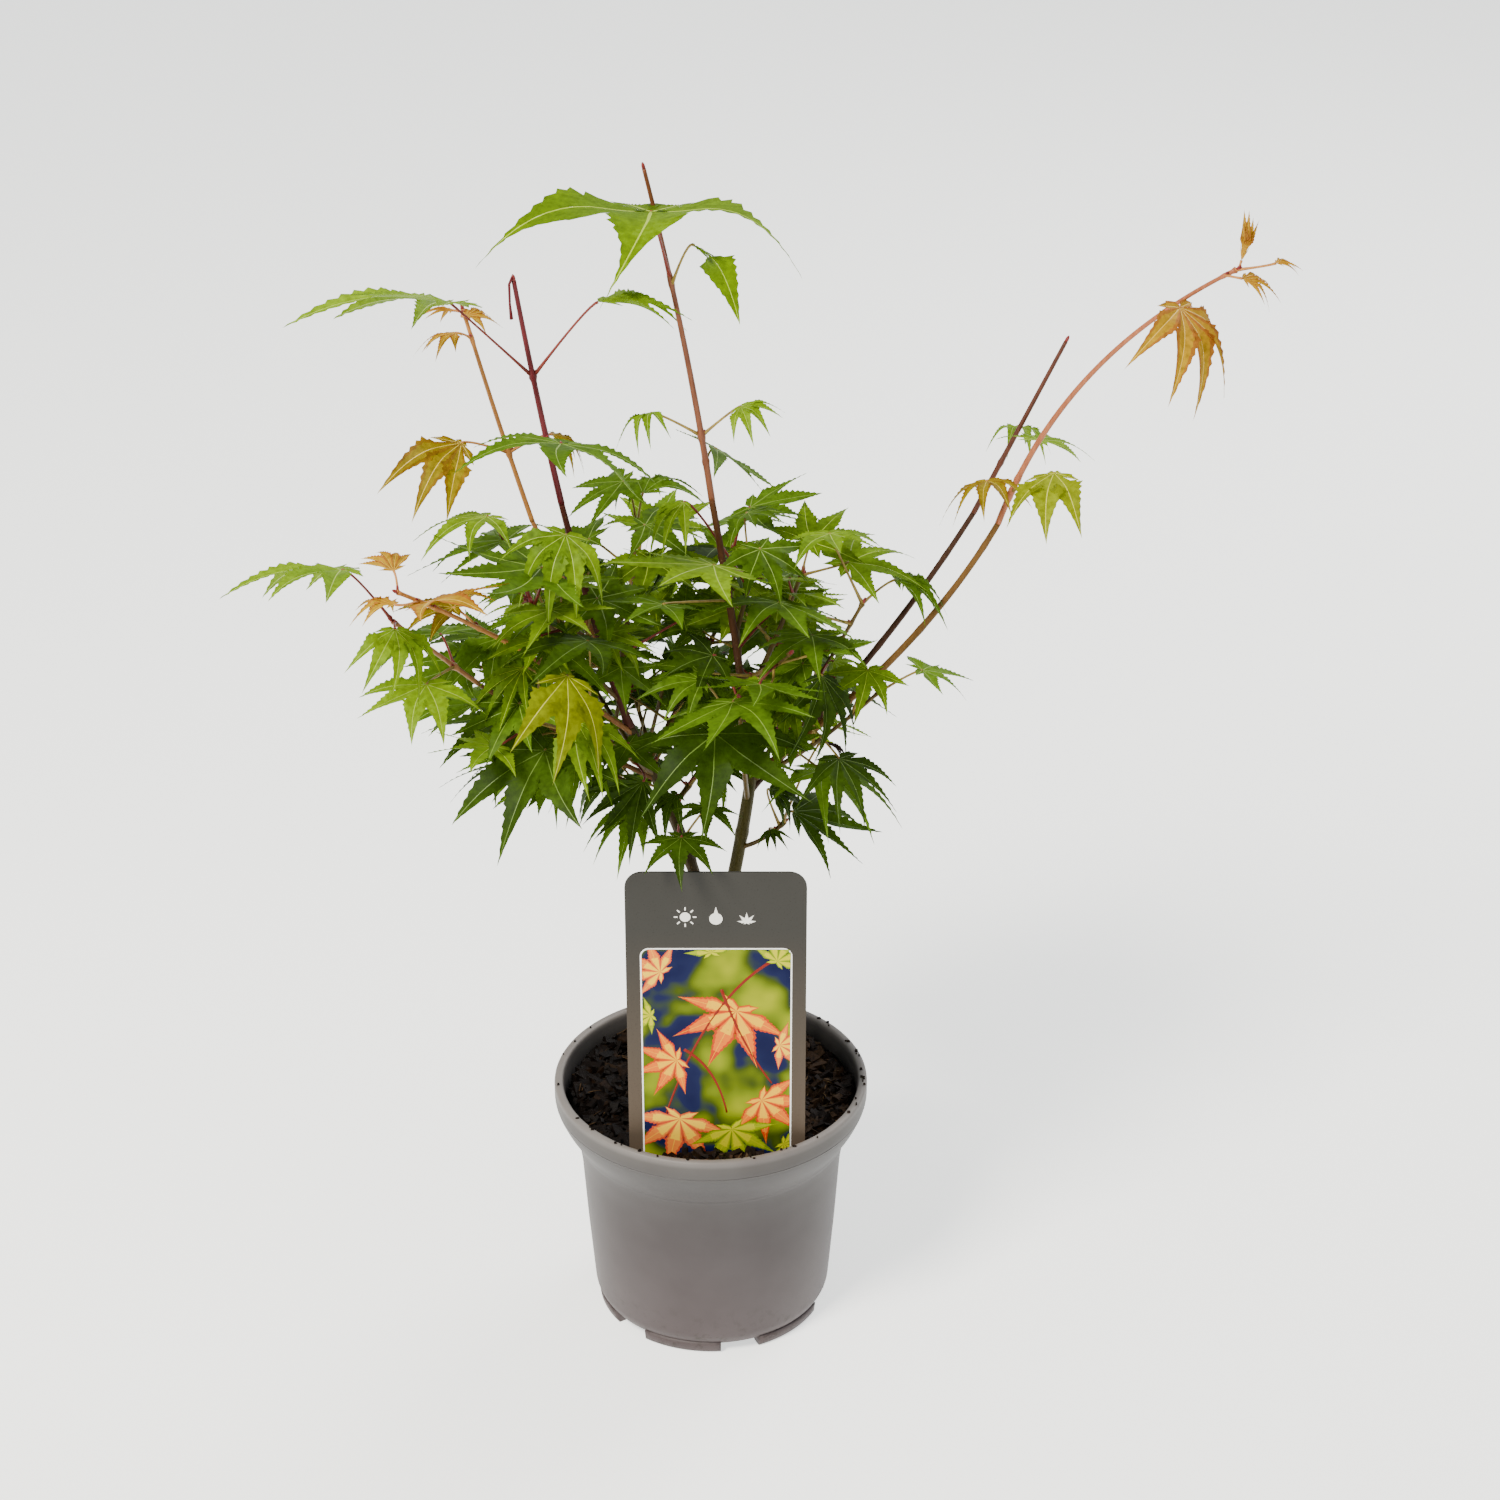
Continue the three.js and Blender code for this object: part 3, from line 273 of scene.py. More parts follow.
# %% The trunk, the two stems and the boughs
SOIL_HEIGHT = 98
GAP = 0.3
# Each limb: its parent and the share along it where it starts, its tip, how far its middle bows, its radius
# at the foot and at the tip, and its flare.
LIMBS = [
    ("trunk", None, 0, (2, 0, 163), (-1, 0, 0), 4.8, 3.8, 2.6),
    ("right_stem", "trunk", 1, (17, 3, 248), (2, 0, 0), 2.9, 2.3, 0),
    ("left_stem", "trunk", 1, (-31, -5, 272), (9, 3, -1), 2.6, 2.0, 0),
    ("leader_bough", "right_stem", 1, (2, -18, 374), (2, 2, 0), 1.75, 1.2, 0),
    ("left_leader_bough", "left_stem", 1, (-54, -22, 374), (-2, 0, 0), 1.6, 1.15, 0),
    ("left_slender_bough", "left_leader_bough", 0.36, (-67, 5, 355), (-2, 2, 0), 1.0, 0.85, 0),
    ("left_front_bough", "left_stem", 0.97, (-67, -35, 318), (2, -2, -3), 1.05, 0.85, 0),
    ("left_low_bough", "left_stem", 0.78, (-87, -30, 303), (2, 1, -6), 1.05, 0.85, 0),
    ("right_arching_bough", "right_stem", 0.97, (113, 26, 345), (18, 9, -8), 1.6, 1.15, 0),
    ("right_second_bough", "right_stem", 0.9, (105, 50, 339), (8, 6, -6), 1.45, 1.05, 0),
]
limbs = {}
for name, parent, share, tip, bow, base, end, flare in LIMBS:
    foot = limbs[parent].point(share) if parent else vec(0, 0, SOIL_HEIGHT + GAP)
    limbs[name] = Stem(foot, tip, bow, base, end, flare)
print("limbs:", len(limbs))

# %% The room that leaves and stems take
def pierces(lines, faces):
    """True where any of the lines passes through any of the triangles."""
    if not len(lines) or not len(faces):
        return False
    start, corner = lines[:, None, 0], faces[None, :, 0]
    ray = lines[:, None, 1] - start
    one, two = faces[None, :, 1] - corner, faces[None, :, 2] - corner
    square = np.cross(ray, two)
    scale = (one * square).sum(-1)
    real = np.abs(scale) >= 1e-9
    scale = np.where(real, scale, 1)
    offset = start - corner
    u = (offset * square).sum(-1) / scale
    across = np.cross(offset, one)
    v = (ray * across).sum(-1) / scale
    t = (two * across).sum(-1) / scale
    return bool((real & (u >= 0) & (u <= 1) & (v >= 0) & (u + v <= 1) & (t >= 0) & (t <= 1)).any())


class Bulk:
    """What a leaf or a stem takes up, as lines and triangles inside one box."""

    def __init__(self, lines, faces=()):
        self.lines = np.array(lines, float).reshape(-1, 2, 3)
        self.faces = np.array(faces, float).reshape(-1, 3, 3)
        points = np.concatenate([self.lines.reshape(-1, 3), self.faces.reshape(-1, 3)])
        self.low, self.high = points.min(0) - 0.5, points.max(0) + 0.5


upright = np.array([[(0.2, 0.2, -1), (0.2, 0.2, 1)]], float)
corner = np.array([[(0, 0, 0), (1, 0, 0), (0, 1, 0)]], float)
print("an upright line pierces a level triangle:", pierces(upright, corner))

# %% What is already placed
STEM_SAMPLES = 24
FREE_SAMPLES = 4
STEM_CLEARANCE = 1.8


def stem_points(stem):
    return np.array([stem.point(t) for t in np.linspace(0, 1, STEM_SAMPLES + 1)])


class Room:
    """All that is placed: the bulks, and the middle lines of limbs and twigs."""

    def __init__(self):
        self.bulks, self.lows, self.highs, self.stems = [], [], [], []

    def take(self, bulk):
        self.bulks.append(bulk)
        self.lows.append(bulk.low)
        self.highs.append(bulk.high)

    def blocked(self, bulk):
        apart = (np.array(self.lows) > bulk.high) | (np.array(self.highs) < bulk.low)
        near = [self.bulks[i] for i in np.flatnonzero(~apart.any(1))]
        if not near:
            return False
        faces = np.concatenate([other.faces for other in near])
        lines = np.concatenate([other.lines for other in near])
        return pierces(bulk.lines, faces) or pierces(lines, bulk.faces)

    def add_stem(self, stem):
        self.take(stem_bulk(stem))
        self.stems.append((stem_points(stem), stem.base))

    def stem_blocked(self, stem):
        """True where a new stem, past its first stretch, meets a limb, a twig or a leaf."""
        points = stem_points(stem)[FREE_SAMPLES:]
        for other, radius in self.stems:
            gaps = np.linalg.norm(points[:, None] - other[None], axis=-1)
            if gaps.min() < stem.base + radius + STEM_CLEARANCE:
                return True
        return self.blocked(Bulk(np.stack([points[:-1], points[1:]], 1)))


LIMB_CLEARANCE = 0.9
CAGE_STEPS = 10


def stem_bulk(stem):
    """Four lines along a stem's surface."""
    chord = unit(stem.tip - stem.foot)
    lines = []
    for j in range(4):
        turn = math.pi / 2 * j
        row = []
        for i in range(CAGE_STEPS + 1):
            t = i / CAGE_STEPS
            side, across = square_to(stem.tangent(t), chord)
            radius = stem.radius(t) + LIMB_CLEARANCE
            row.append(stem.point(t) + radius * (side * math.cos(turn) + across * math.sin(turn)))
        lines += list(zip(row, row[1:]))
    return Bulk(lines)


print("samples along a stem:", STEM_SAMPLES + 1)

# %% The label and the limbs take their room first
LABEL_WIDTH, LABEL_TOP, LABEL_X, LABEL_Y, LABEL_CLEARANCE = 71, 229, 3, -44.5, 2


def label_bulk():
    """The label's sheet, so that no leaf grows through it."""
    half = LABEL_WIDTH / 2 + LABEL_CLEARANCE
    top = LABEL_TOP + LABEL_CLEARANCE
    a, b = vec(LABEL_X - half, LABEL_Y, SOIL_HEIGHT), vec(LABEL_X + half, LABEL_Y, SOIL_HEIGHT)
    c, d = vec(LABEL_X + half, LABEL_Y, top), vec(LABEL_X - half, LABEL_Y, top)
    return Bulk([(a, b), (b, c), (c, d), (d, a)], [(a, b, c), (a, c, d)])


room = Room()
room.take(label_bulk())
for stem in limbs.values():
    room.add_stem(stem)
print("placed so far:", len(room.bulks))

# %% A leaf's frame, outline and bulk
LOBE_ANGLES = [-82, -41, 0, 41, 82]
LOBE_LENGTHS = [0.84, 0.97, 1, 0.97, 0.84]
LOBE_SHOULDER_AT = 0.52
LOBE_SHOULDER_WIDTH = 0.14
SINUS_RADIUS = 0.3
STALK_ELBOW = 3.5
STALK_CLEARANCE = 1.1
LEAF_CURL = 0.09


class Leaf:
    """A leaf on its stalk: where the stalk starts, where the lobes meet, its way, roll and size."""

    def __init__(self, root, base, forward, roll, size):
        self.root, self.base, self.size = root, base, size
        self.ahead = unit(forward)
        flat = vec(1, 0, 0) if abs(self.ahead[2]) > 0.98 else UP
        self.normal = turned(unit(flat - self.ahead * (flat @ self.ahead)), self.ahead, roll)
        self.side = np.cross(self.normal, self.ahead)
        self.elbow = base - self.ahead * STALK_ELBOW

    def place(self, degrees, radius):
        turn = math.radians(degrees)
        level = self.ahead * math.cos(turn) + self.side * math.sin(turn)
        return self.base + self.size * (radius * level - LEAF_CURL * radius**2 * self.normal)

    def outline(self):
        lean = math.degrees(math.atan(LOBE_SHOULDER_WIDTH / LOBE_SHOULDER_AT))
        points = []
        for k, (angle, length) in enumerate(zip(LOBE_ANGLES, LOBE_LENGTHS)):
            shoulder = length * math.hypot(LOBE_SHOULDER_AT, LOBE_SHOULDER_WIDTH)
            if k > 0:
                points.append(self.place(angle - lean, shoulder))
            points.append(self.place(angle, length))
            if k < 4:
                points.append(self.place(angle + lean, shoulder))
                points.append(self.place((angle + LOBE_ANGLES[k + 1]) / 2, SINUS_RADIUS))
        return points

    def bulk(self):
        outline = self.outline()
        around = list(zip(outline, outline[1:] + outline[:1]))
        lines = around + [(self.base, p) for p in outline] + [(self.elbow, self.base)]
        along = unit(self.elbow - self.root)
        side, across = square_to(along, along)
        for turn in (0, 120, 240):
            turn = math.radians(turn)
            shift = STALK_CLEARANCE * (side * math.cos(turn) + across * math.sin(turn))
            lines.append((self.root + shift, self.elbow + shift))
        return Bulk(lines, [(self.base, p, q) for p, q in around])


print("corners of a plain leaf:", len(Leaf(vec(0, 0, 0), vec(0, 0, 9), vec(1, 0, 0), 0, 1).outline()))

# %% [markdown]
# The next cells hold the growth itself: one leaf, a pair's directions, a posed shoot, a crown branch and a
# side twig. Each leaf also gets the name of its tint here, because yellow, orange and young green leaves sit
# on certain shoots. A texture could hold the colours, but the shoot knows them better.

# %% Placing one leaf
CROWN_FLOOR = 212
FLOOR_SLOPE = 0.52
LABEL_OVERLAP = 20
TRIES = 24


def crown_floor(y):
    """The lowest height of a leaf: it rises to the front, so that the label stays in sight."""
    return max(CROWN_FLOOR, LABEL_TOP - LABEL_OVERLAP - FLOOR_SLOPE * y)


def has_room(points):
    return all(p[2] > crown_floor(p[1]) for p in points)


class Mass:
    """One mass of leaves: its twigs, and its leaves with their colours."""

    def __init__(self, name, seed, stem):
        self.name, self.seed, self.twigs, self.leaves = name, seed, [stem], []
        room.add_stem(stem)


def place_leaf(mass, root, way, length, size, droop, count, tint, tries=TRIES):
    """One leaf, in the first of a few seeded ways that is clear. True where it found one.

    The draws are in degrees or shares, and most ranges widen from try to try, as the leaf gets smaller."""
    for turn in range(tries):
        ease = turn / tries

        def draw(k, low, high):
            return between(mass.seed, count * 101 + turn * 11 + k, low, high)

        bent = turned(way, UP, math.radians(draw(0, -14, 14) * (1 + 2 * ease)))
        bent = unit(bent + UP * draw(1, -0.1, 0.15) * (1 + 2 * ease))
        base = root + bent * length * draw(2, 0.85, 1.15)
        flat = unit(vec(bent[0], bent[1], 0))
        hang = math.radians(droop + draw(3, -20, 22) * (1 + ease))
        forward = turned(flat, UP, math.radians(draw(4, -36, 36) * (1 + ease)))
        forward = forward * math.cos(hang) - UP * math.sin(hang)
        roll = math.radians(draw(5, -16, 16) * (1 + ease))
        leaf = Leaf(root, base, forward, roll, size * (1 - 0.35 * ease))
        if not has_room(leaf.outline()):
            continue
        bulk = leaf.bulk()
        if not room.blocked(bulk):
            room.take(bulk)
            mass.leaves.append((leaf, tint, None))
            return True
    return False


def pair_way(direction, turn, tilt):
    """One side of a leaf pair: tilted off the twig, and turned round it."""
    side, across = square_to(direction, direction)
    tilt = math.radians(tilt)
    around = side * math.cos(turn) + across * math.sin(turn)
    return direction * math.cos(tilt) + around * math.sin(tilt)


print("crown floor 60 mm to the front and in the middle:", round(crown_floor(-60)), crown_floor(0))

# %% The posed shoots
# Each shoot: its limb and the share along it where it starts, its tip, its bow and its two radii.
# Each leaf: its share of the shoot, its stalk's compass way, rise and length, its own size, droop, compass
# way and roll, its tint, and how it carries its lobes.
SPRAYS = [
    ("leader_spray", "leader_bough", 1, (-21, -34, 507), (3, 2, 0), (1.15, 0.65), [
        (0.68, -110, 60, 35, 58, -10, -92, 0, "lime", "wide"),
        (0.66, -60, 50, 26, 32, 10, -50, -5, "lime", "single"),
        (0.2, -165, 30, 22, 18, -10, -125, 20, "fresh", "curled"),
        (0.2, -5, 40, 19, 18, -10, -55, 15, "fresh", "curled"),
        (0.12, 95, 15, 14, 34, -5, -30, -20, "mid", "flat"),
    ]),
    ("left_leader_spray", "left_leader_bough", 1, (-68, -35, 466), (-1, 0, 0), (1.1, 0.75), [
        (0.3, -75, 18, 28, 44, -15, -94, -8, "mid", "spread"),
        (0.58, -160, 47, 44, 56, -12, -170, 20, "fresh", "flat"),
        (0.58, 5, 49, 37, 38, 0, 15, -10, "fresh", "folded"),
    ]),
    ("left_slender_spray", "left_slender_bough", 1, (-91, 13, 438), (-1, 0, 0), (0.85, 0.65), [
        (0.33, -150, 22, 21, 34, 10, -125, -20, "golden", "broad"),
        (0.33, 10, 20, 18, 18, 20, 20, 0, "golden", "hanging"),
        (0.86, -135, 30, 9, 17, -5, -150, 10, "orange", "hanging"),
        (0.98, -80, 0, 5, 14, -10, 20, 0, "orange", "curled"),
        (0.98, 170, 10, 5, 12, -10, -165, 0, "orange", "folded"),
    ]),
    ("left_front_spray", "left_front_bough", 1, (-112, -64, 357), (1, -1, 2), (0.85, 0.65), [
        (0.4, 147, 25, 13, 25, 0, 160, 0, "golden", "flat"),
        (0.72, -98, 37, 12, 34, -15, 5, -20, "orange", "spread"),
        (0.85, -125, 20, 14, 18, -10, 160, 10, "orange", "curled"),
        (1, 111, 60, 8, 18, -20, 115, 0, "orange", "folded"),
    ]),
    ("left_low_spray", "left_low_bough", 1, (-117, -42, 335), (1, 0, -1), (0.85, 0.65), [
        (0.3, -111, 8, 24, 31, 10, -108, 0, "fresh", "flat"),
        (0.3, 110, 14, 20, 32, 10, 120, 0, "mid", "flat"),
        (1, -167, 52, 29, 46, -6, -172, 18, "fresh", "flat"),
        (0.97, -67, 37, 19, 31, 0, -94, 0, "fresh", "curled"),
    ]),
    ("right_arching_spray", "right_arching_bough", 1, (196, 8, 455), (-19, 14, 13), (1.1, 0.65), [
        (0.1, -65, 32, 37, 34, 5, -105, 8, "yellow", "broad"),
        (0.08, -140, 40, 16, 25, -10, -100, 12, "golden", "hanging"),
        (0.14, 60, 30, 20, 26, 10, 60, 0, "fresh", "flat"),
        (0.8, -75, 20, 11, 38, 35, -50, -15, "orange", "hanging"),
        (1, 20, 60, 4, 20, -60, 60, 40, "orange", "bundled"),
        (1, -12, 9, 9, 12, -12, 15, 10, "orange", "folded"),
        (0.97, -45, 5, 8, 17, 15, 5, 15, "orange", "folded"),
    ]),
    ("right_second_spray", "right_second_bough", 1, (140, 64, 406), (0, 0, 0), (1.0, 0.7), [
        (0.3, 60, 30, 18, 20, 14, 70, 0, "fresh", "curled"),
    ]),
    ("front_spray", "right_stem", 0.85, (12, -36, 300), (0, 0, -6), (1.2, 0.75), [
        (0.98, -100, 24, 14, 42, -8, -98, 8, "mid", "flat"),
        (0.7, -120, 26, 22, 46, 22, -92, 4, "deep", "flat"),
        (0.98, 150, 55, 20, 24, 0, -150, -15, "deep", "flat"),
        (0.7, -135, 54, 36, 25, 0, -170, -10, "mid", "hanging"),
    ]),
    ("centre_upper_spray", "leader_bough", 0.5, (17, 2, 334), (0, 0, 0), (1.1, 0.7), [
        (1, -118, 28, 35, 42, -14, -125, 0, "fresh", "level"),
        (1, -80, 46, 26, 26, 30, -60, 0, "mid", "flat"),
        (0.8, -120, 50, 45, 26, 20, -110, 0, "fresh", "curled"),
        (1, 98, 60, 24, 20, -15, -40, 0, "mid", "flat"),
        (0.6, -138, 15, 43, 28, -15, -120, 0, "mid", "spread"),
    ]),
    ("left_hanging_spray", "left_stem", 0.8, (-46, -40, 296), (0, 0, -6), (1.1, 0.75), [
        (0.98, -105, 50, 35, 38, 25, -85, -20, "yellow", "broad"),
        (0.7, -140, 8, 30, 44, 25, -118, 5, "deep", "flat"),
        (0.95, -88, 80, 34, 38, -12, -110, 0, "deep", "flat"),
        (0.8, -172, 42, 40, 30, 30, -140, 0, "lime", "folded"),
        (0.3, -75, -5, 15, 36, 35, -150, -20, "deep", "folded"),
    ]),
    ("left_foot_spray", "left_stem", 0.3, (-16, -22, 226), (0, 0, -2), (1.0, 0.7), [
        (1, -82, 48, 24, 25, 0, -100, 5, "deep", "flat"),
        (0.9, -45, 65, 32, 20, 8, -80, 0, "deep", "flat"),
        (0.8, -88, 75, 31, 22, 0, -125, 0, "deep", "hanging"),
    ]),
    ("right_middle_spray", "right_stem", 0.95, (66, -4, 286), (0, 0, -6), (1.1, 0.7), [
        (0.8, -45, 70, 24, 22, 25, -100, -5, "lime", "flat"),
        (0.6, -97, 62, 42, 36, 45, -75, -30, "deep", "folded"),
        (0.5, -96, 78, 54, 34, -2, -130, 8, "mid", "flat"),
        (1, 20, 20, 20, 24, 15, 20, 0, "mid", "flat"),
    ]),
    ("right_upper_spray", "right_stem", 0.98, (60, 10, 318), (0, 0, -6), (1.1, 0.7), [
        (0.9, -135, 29, 46, 38, -8, -70, -15, "mid", "flat"),
        (1, -143, 64, 38, 27, -10, -84, 0, "fresh", "flat"),
        (0.5, -110, 66, 36, 32, 6, -165, 0, "mid", "flat"),
        (1, 20, 30, 16, 24, 5, 10, 0, "mid", "curled"),
    ]),
    ("left_upper_spray", "left_leader_bough", 0.12, (-66, -24, 334), (0, 0, -4), (1.1, 0.7), [
        (0.98, -72, 56, 27, 46, -12, -150, 0, "mid", "level"),
        (0.9, -54, 65, 44, 30, 25, -108, -15, "fresh", "curled"),
        (1, 149, 58, 37, 30, -5, -145, 10, "fresh", "flat"),
        (0.7, 144, 54, 42, 40, 13, 150, 0, "mid", "flat"),
    ]),
    ("right_low_spray", "right_stem", 0.6, (30, -8, 231), (0, 0, -4), (1.0, 0.7), [
        (1, -68, 53, 12, 40, 22, 5, 15, "deep", "folded"),
        (0.8, -95, 35, 15, 14, -5, -85, 15, "deep", "folded"),
        (0.9, -120, 68, 22, 18, 20, 0, 25, "deep", "curled"),
        (0.95, 35, 50, 34, 18, 20, 4, 0, "withered", "withered"),
    ]),
]
print("posed shoots:", len(SPRAYS), "with leaves:", sum(len(spray[-1]) for spray in SPRAYS))

# %% Growing a posed shoot
POSED_TRIES = 12


def grow_spray(spec, seed):
    """A shoot with its leaves, each of which may shift a little to sit clear of all that is placed."""
    name, limb, share, tip, bow, radii, leaves = spec
    stem = Stem(limbs[limb].point(share), tip, bow, *radii)
    mass = Mass(name, seed, stem)
    for count, (at, compass, rise, stalk, size, droop, facing, roll, tint, habit) in enumerate(leaves):
        root = stem.point(at)
        stem.nodes.append(at)
        for turn in range(POSED_TRIES):
            ease = 3 * turn / POSED_TRIES

            def draw(k, spread):
                return ease * between(seed, count * 101 + turn * 11 + k, -spread, spread)

            way = heading(compass + draw(0, 12), rise + draw(1, 12))
            base = root + way * (stalk + draw(2, 4))
            forward = heading(facing + draw(3, 14), -droop + draw(4, 12))
            leaf = Leaf(root, base, forward, math.radians(roll + draw(5, 12)), size * (1 - 0.06 * ease))
            bulk = leaf.bulk()
            if not room.blocked(bulk):
                room.take(bulk)
                mass.leaves.append((leaf, tint, habit))
                break
    return mass


print("tries for each posed leaf:", POSED_TRIES)

# %% The crown's tiers
CROWN_X, CROWN_Y = -18, 4
# The tints per tier paint light and shade: lighter greens high in the crown, deep greens in its shade low down
CROWN_TIERS = [
    {"name": "low", "count": 3, "root": 234, "rise": 26, "reach": 42, "turn": 36, "span": 200, "pairs": 3,
     "leaf": 30, "droop": 6, "tints": ["deep"] * 8 + ["mid"] * 2},
    {"name": "middle", "count": 6, "root": 252, "rise": 34, "reach": 60, "turn": -12, "span": 264, "pairs": 4,
     "leaf": 38, "droop": 2, "tints": ["deep"] * 3 + ["mid"] * 5 + ["fresh"] * 2},
    {"name": "high", "count": 6, "root": 286, "rise": 38, "reach": 54, "turn": -30, "span": 276, "pairs": 4,
     "leaf": 36, "droop": -4, "tints": ["mid"] * 5 + ["fresh"] * 4 + ["lime"]},
]


def tint_of(tier, seed, count):
    return tier["tints"][int(len(tier["tints"]) * chance(seed, 5000 + count))]


print("crown branches:", sum(tier["count"] for tier in CROWN_TIERS))

# %% A crown branch with its leaf pairs and side twigs
# Leaf pairs: the first one's share of the branch and the span of the others, tilt (degrees) and size
FIRST_PAIR, PAIR_SPAN = 0.26, 0.72
PAIR_TILT = (50, 78)
PAIR_SIZE = (0.62, 1.12)
STALK_SHARE = 0.65
SIDE_TWIG_CHANCE = 0.42
LAST_TWIG = 0.9
TWIG_LENGTH = (18, 30)


def grow_branch(name, seed, stem, tier):
    """A crown branch: leaf pairs, each square to the last, some on side twigs, and one leaf at its tip.

    Each kind of draw counts from its own number, so that no two kinds share a chance."""
    mass = Mass(name, seed, stem)
    count = 0
    for i in range(tier["pairs"]):
        share = FIRST_PAIR + PAIR_SPAN * i / (tier["pairs"] - 1)
        stem.nodes.append(share)
        root, direction = stem.point(share), stem.tangent(share)
        turn = (i % 2) * math.pi / 2 + between(seed, 900 + i, -0.3, 0.3)
        for half in (0, math.pi):
            way = pair_way(direction, turn + half, between(seed, 930 + count, *PAIR_TILT))
            size = tier["leaf"] * between(seed, 960 + count, *PAIR_SIZE)
            twig = chance(seed, 990 + count) < SIDE_TWIG_CHANCE and share < LAST_TWIG
            if not twig or not grow_twig(mass, root, way, size, tier, count):
                tint = tint_of(tier, seed, count)
                place_leaf(mass, root, way, size * STALK_SHARE, size, tier["droop"], count, tint)
            count += 1
    size, tint = tier["leaf"], tint_of(tier, seed, 50)
    place_leaf(mass, stem.tip, stem.tangent(1), size * 0.35, size * 0.85, tier["droop"], 50, tint)
    return mass


def grow_twig(mass, root, way, size, tier, count):
    """A side twig with a pair of leaves at its tip and one straight ahead. True where it found room."""
    lifted = unit(way + UP * 0.25)
    tip = root + lifted * between(mass.seed, 1020 + count, *TWIG_LENGTH)
    twig = Stem(root, tip, base=0.85, end=0.75)
    if not has_room([tip]) or room.stem_blocked(twig):
        return False
    room.add_stem(twig)
    mass.twigs.append(twig)
    side = square_to(lifted, lifted)[0]
    tints = [tint_of(tier, mass.seed, 60 + count * 3 + k) for k in range(3)]
    for k, half in enumerate((1, -1)):
        spread = unit(lifted * 0.6 + side * half)
        place_leaf(mass, tip, spread, size * 0.42, size * 0.9, tier["droop"], 60 + count * 3 + k, tints[k])
    place_leaf(mass, tip, lifted, size * 0.4, size * 0.82, tier["droop"], 62 + count * 3, tints[2])
    return True


print("side twigs grow at", SIDE_TWIG_CHANCE, "of the leaf places")

# %% Where a crown branch starts and goes
FOOT_RING = (18, 10)
STEM_TRIES = 16
CROWN_PARENTS = ["right_stem", "left_stem", "leader_bough", "left_leader_bough", "right_arching_bough"]


def crown_foot(height, compass):
    """The nearest point of the stems and boughs to where a crown branch would start."""
    across, deep = FOOT_RING
    wanted = vec(CROWN_X + across * math.cos(compass), CROWN_Y + deep * math.sin(compass), height)
    points = [limbs[name].point(i / 20) for name in CROWN_PARENTS for i in range(1, 20)]
    return min(points, key=lambda p: np.linalg.norm(p - wanted))


def crown_stem(tier, seed, compass):
    """The stem of a crown branch, turned and raised a little until it passes clear of all others."""
    for turn in range(STEM_TRIES):
        ease = turn / STEM_TRIES

        def draw(k, low, high):
            return between(seed, 11 * turn + k, low, high)

        way = compass + math.radians(draw(1, -12, 12) * (1 + 3 * ease))
        foot = crown_foot(tier["root"] + draw(2, -10, 10) * (1 + ease), way)
        reach = tier["reach"] * draw(3, 0.9, 1.1)
        height = tier["root"] + tier["rise"] * draw(4, 0.8 - 0.5 * ease, 1.2 + 0.5 * ease)
        tip = vec(CROWN_X + reach * math.cos(way), CROWN_Y + reach * math.sin(way), height)
        stem = Stem(foot, tip, (0, 0, -4), 1.25, 0.8)
        if not room.stem_blocked(stem):
            break
    return stem


print("a branch may start from", len(CROWN_PARENTS), "limbs")

# %% Growing the whole plant
masses = [grow_spray(spec, 11 + k) for k, spec in enumerate(SPRAYS)]
for row, tier in enumerate(CROWN_TIERS):
    for i in range(tier["count"]):
        seed = 101 + 20 * row + i
        stem = crown_stem(tier, seed, math.radians(tier["turn"] + tier["span"] * i / tier["count"]))
        masses.append(grow_branch(f"{tier['name']}_foliage_{i + 1}", seed, stem, tier))
print("leaves:", sum(len(mass.leaves) for mass in masses), "masses:", len(masses))

# %% [markdown]
# ## Finer growth
#
# The CAD model keeps its leaves few, because a solid costs more than a mesh. Here the rule goes on to finer
# twigs within the same reach. Each crown branch tries small leaves between its pairs, on short side twigs
# where there is room.

# %% Finer twigs and small leaves
FINE_SIZE = 21
FINE_STEPS = 4
FINE_TRIES = 8
FINE_TILT = 58
THINNEST_PARENT = 0.7


def grow_fine(mass, tier):
    """Small leaves along a crown branch, every other one on a twig of its own where that fits."""
    stem = mass.twigs[0]
    for i in range(FINE_STEPS):
        share = 0.2 + 0.74 * (i + 0.5) / FINE_STEPS
        turn = between(mass.seed, 3000 + i, 0, math.tau)
        way = pair_way(stem.tangent(share), turn, FINE_TILT)
        root = stem.point(share)
        twig = i % 2 and stem.radius(share) >= THINNEST_PARENT
        if not twig or not grow_twig(mass, root, way, FINE_SIZE, tier, 300 + i):
            tint = tint_of(tier, mass.seed, 3100 + i)
            place_leaf(mass, root, way, FINE_SIZE * 0.6, FINE_SIZE, tier["droop"], 320 + i, tint, FINE_TRIES)


crown_masses = masses[len(SPRAYS) :]
tiers_in_order = [tier for tier in CROWN_TIERS for _ in range(tier["count"])]
for mass, tier in zip(crown_masses, tiers_in_order):
    grow_fine(mass, tier)
print("leaves with the finer growth:", sum(len(mass.leaves) for mass in masses))

# %% [markdown]
# ## The leaf blade
#
# The real leaf is thin, with seven pointed lobes, a toothed edge and pale midribs. One leaf could be modelled
# by hand and copied, but then all would look alike. Instead each lobe is a strip along its midrib. Near the
# stalk a strip is as wide as the gap to the next lobe allows, so that neighbours meet. Past the notch it
# follows a long pointed blade with forward teeth. A few sets of lobe lengths give the full leaf, the young
# leaf with three main lobes, the top leaf with long sweeping sides, and the leaf that is almost one lobe.
# The same points then carry a fold along the midrib, a droop to the tips and a small ripple.

# %% The lobes
BLADE_ANGLES = [-124, -82, -41, 0, 41, 82, 124]
LOBE_GAP = 41
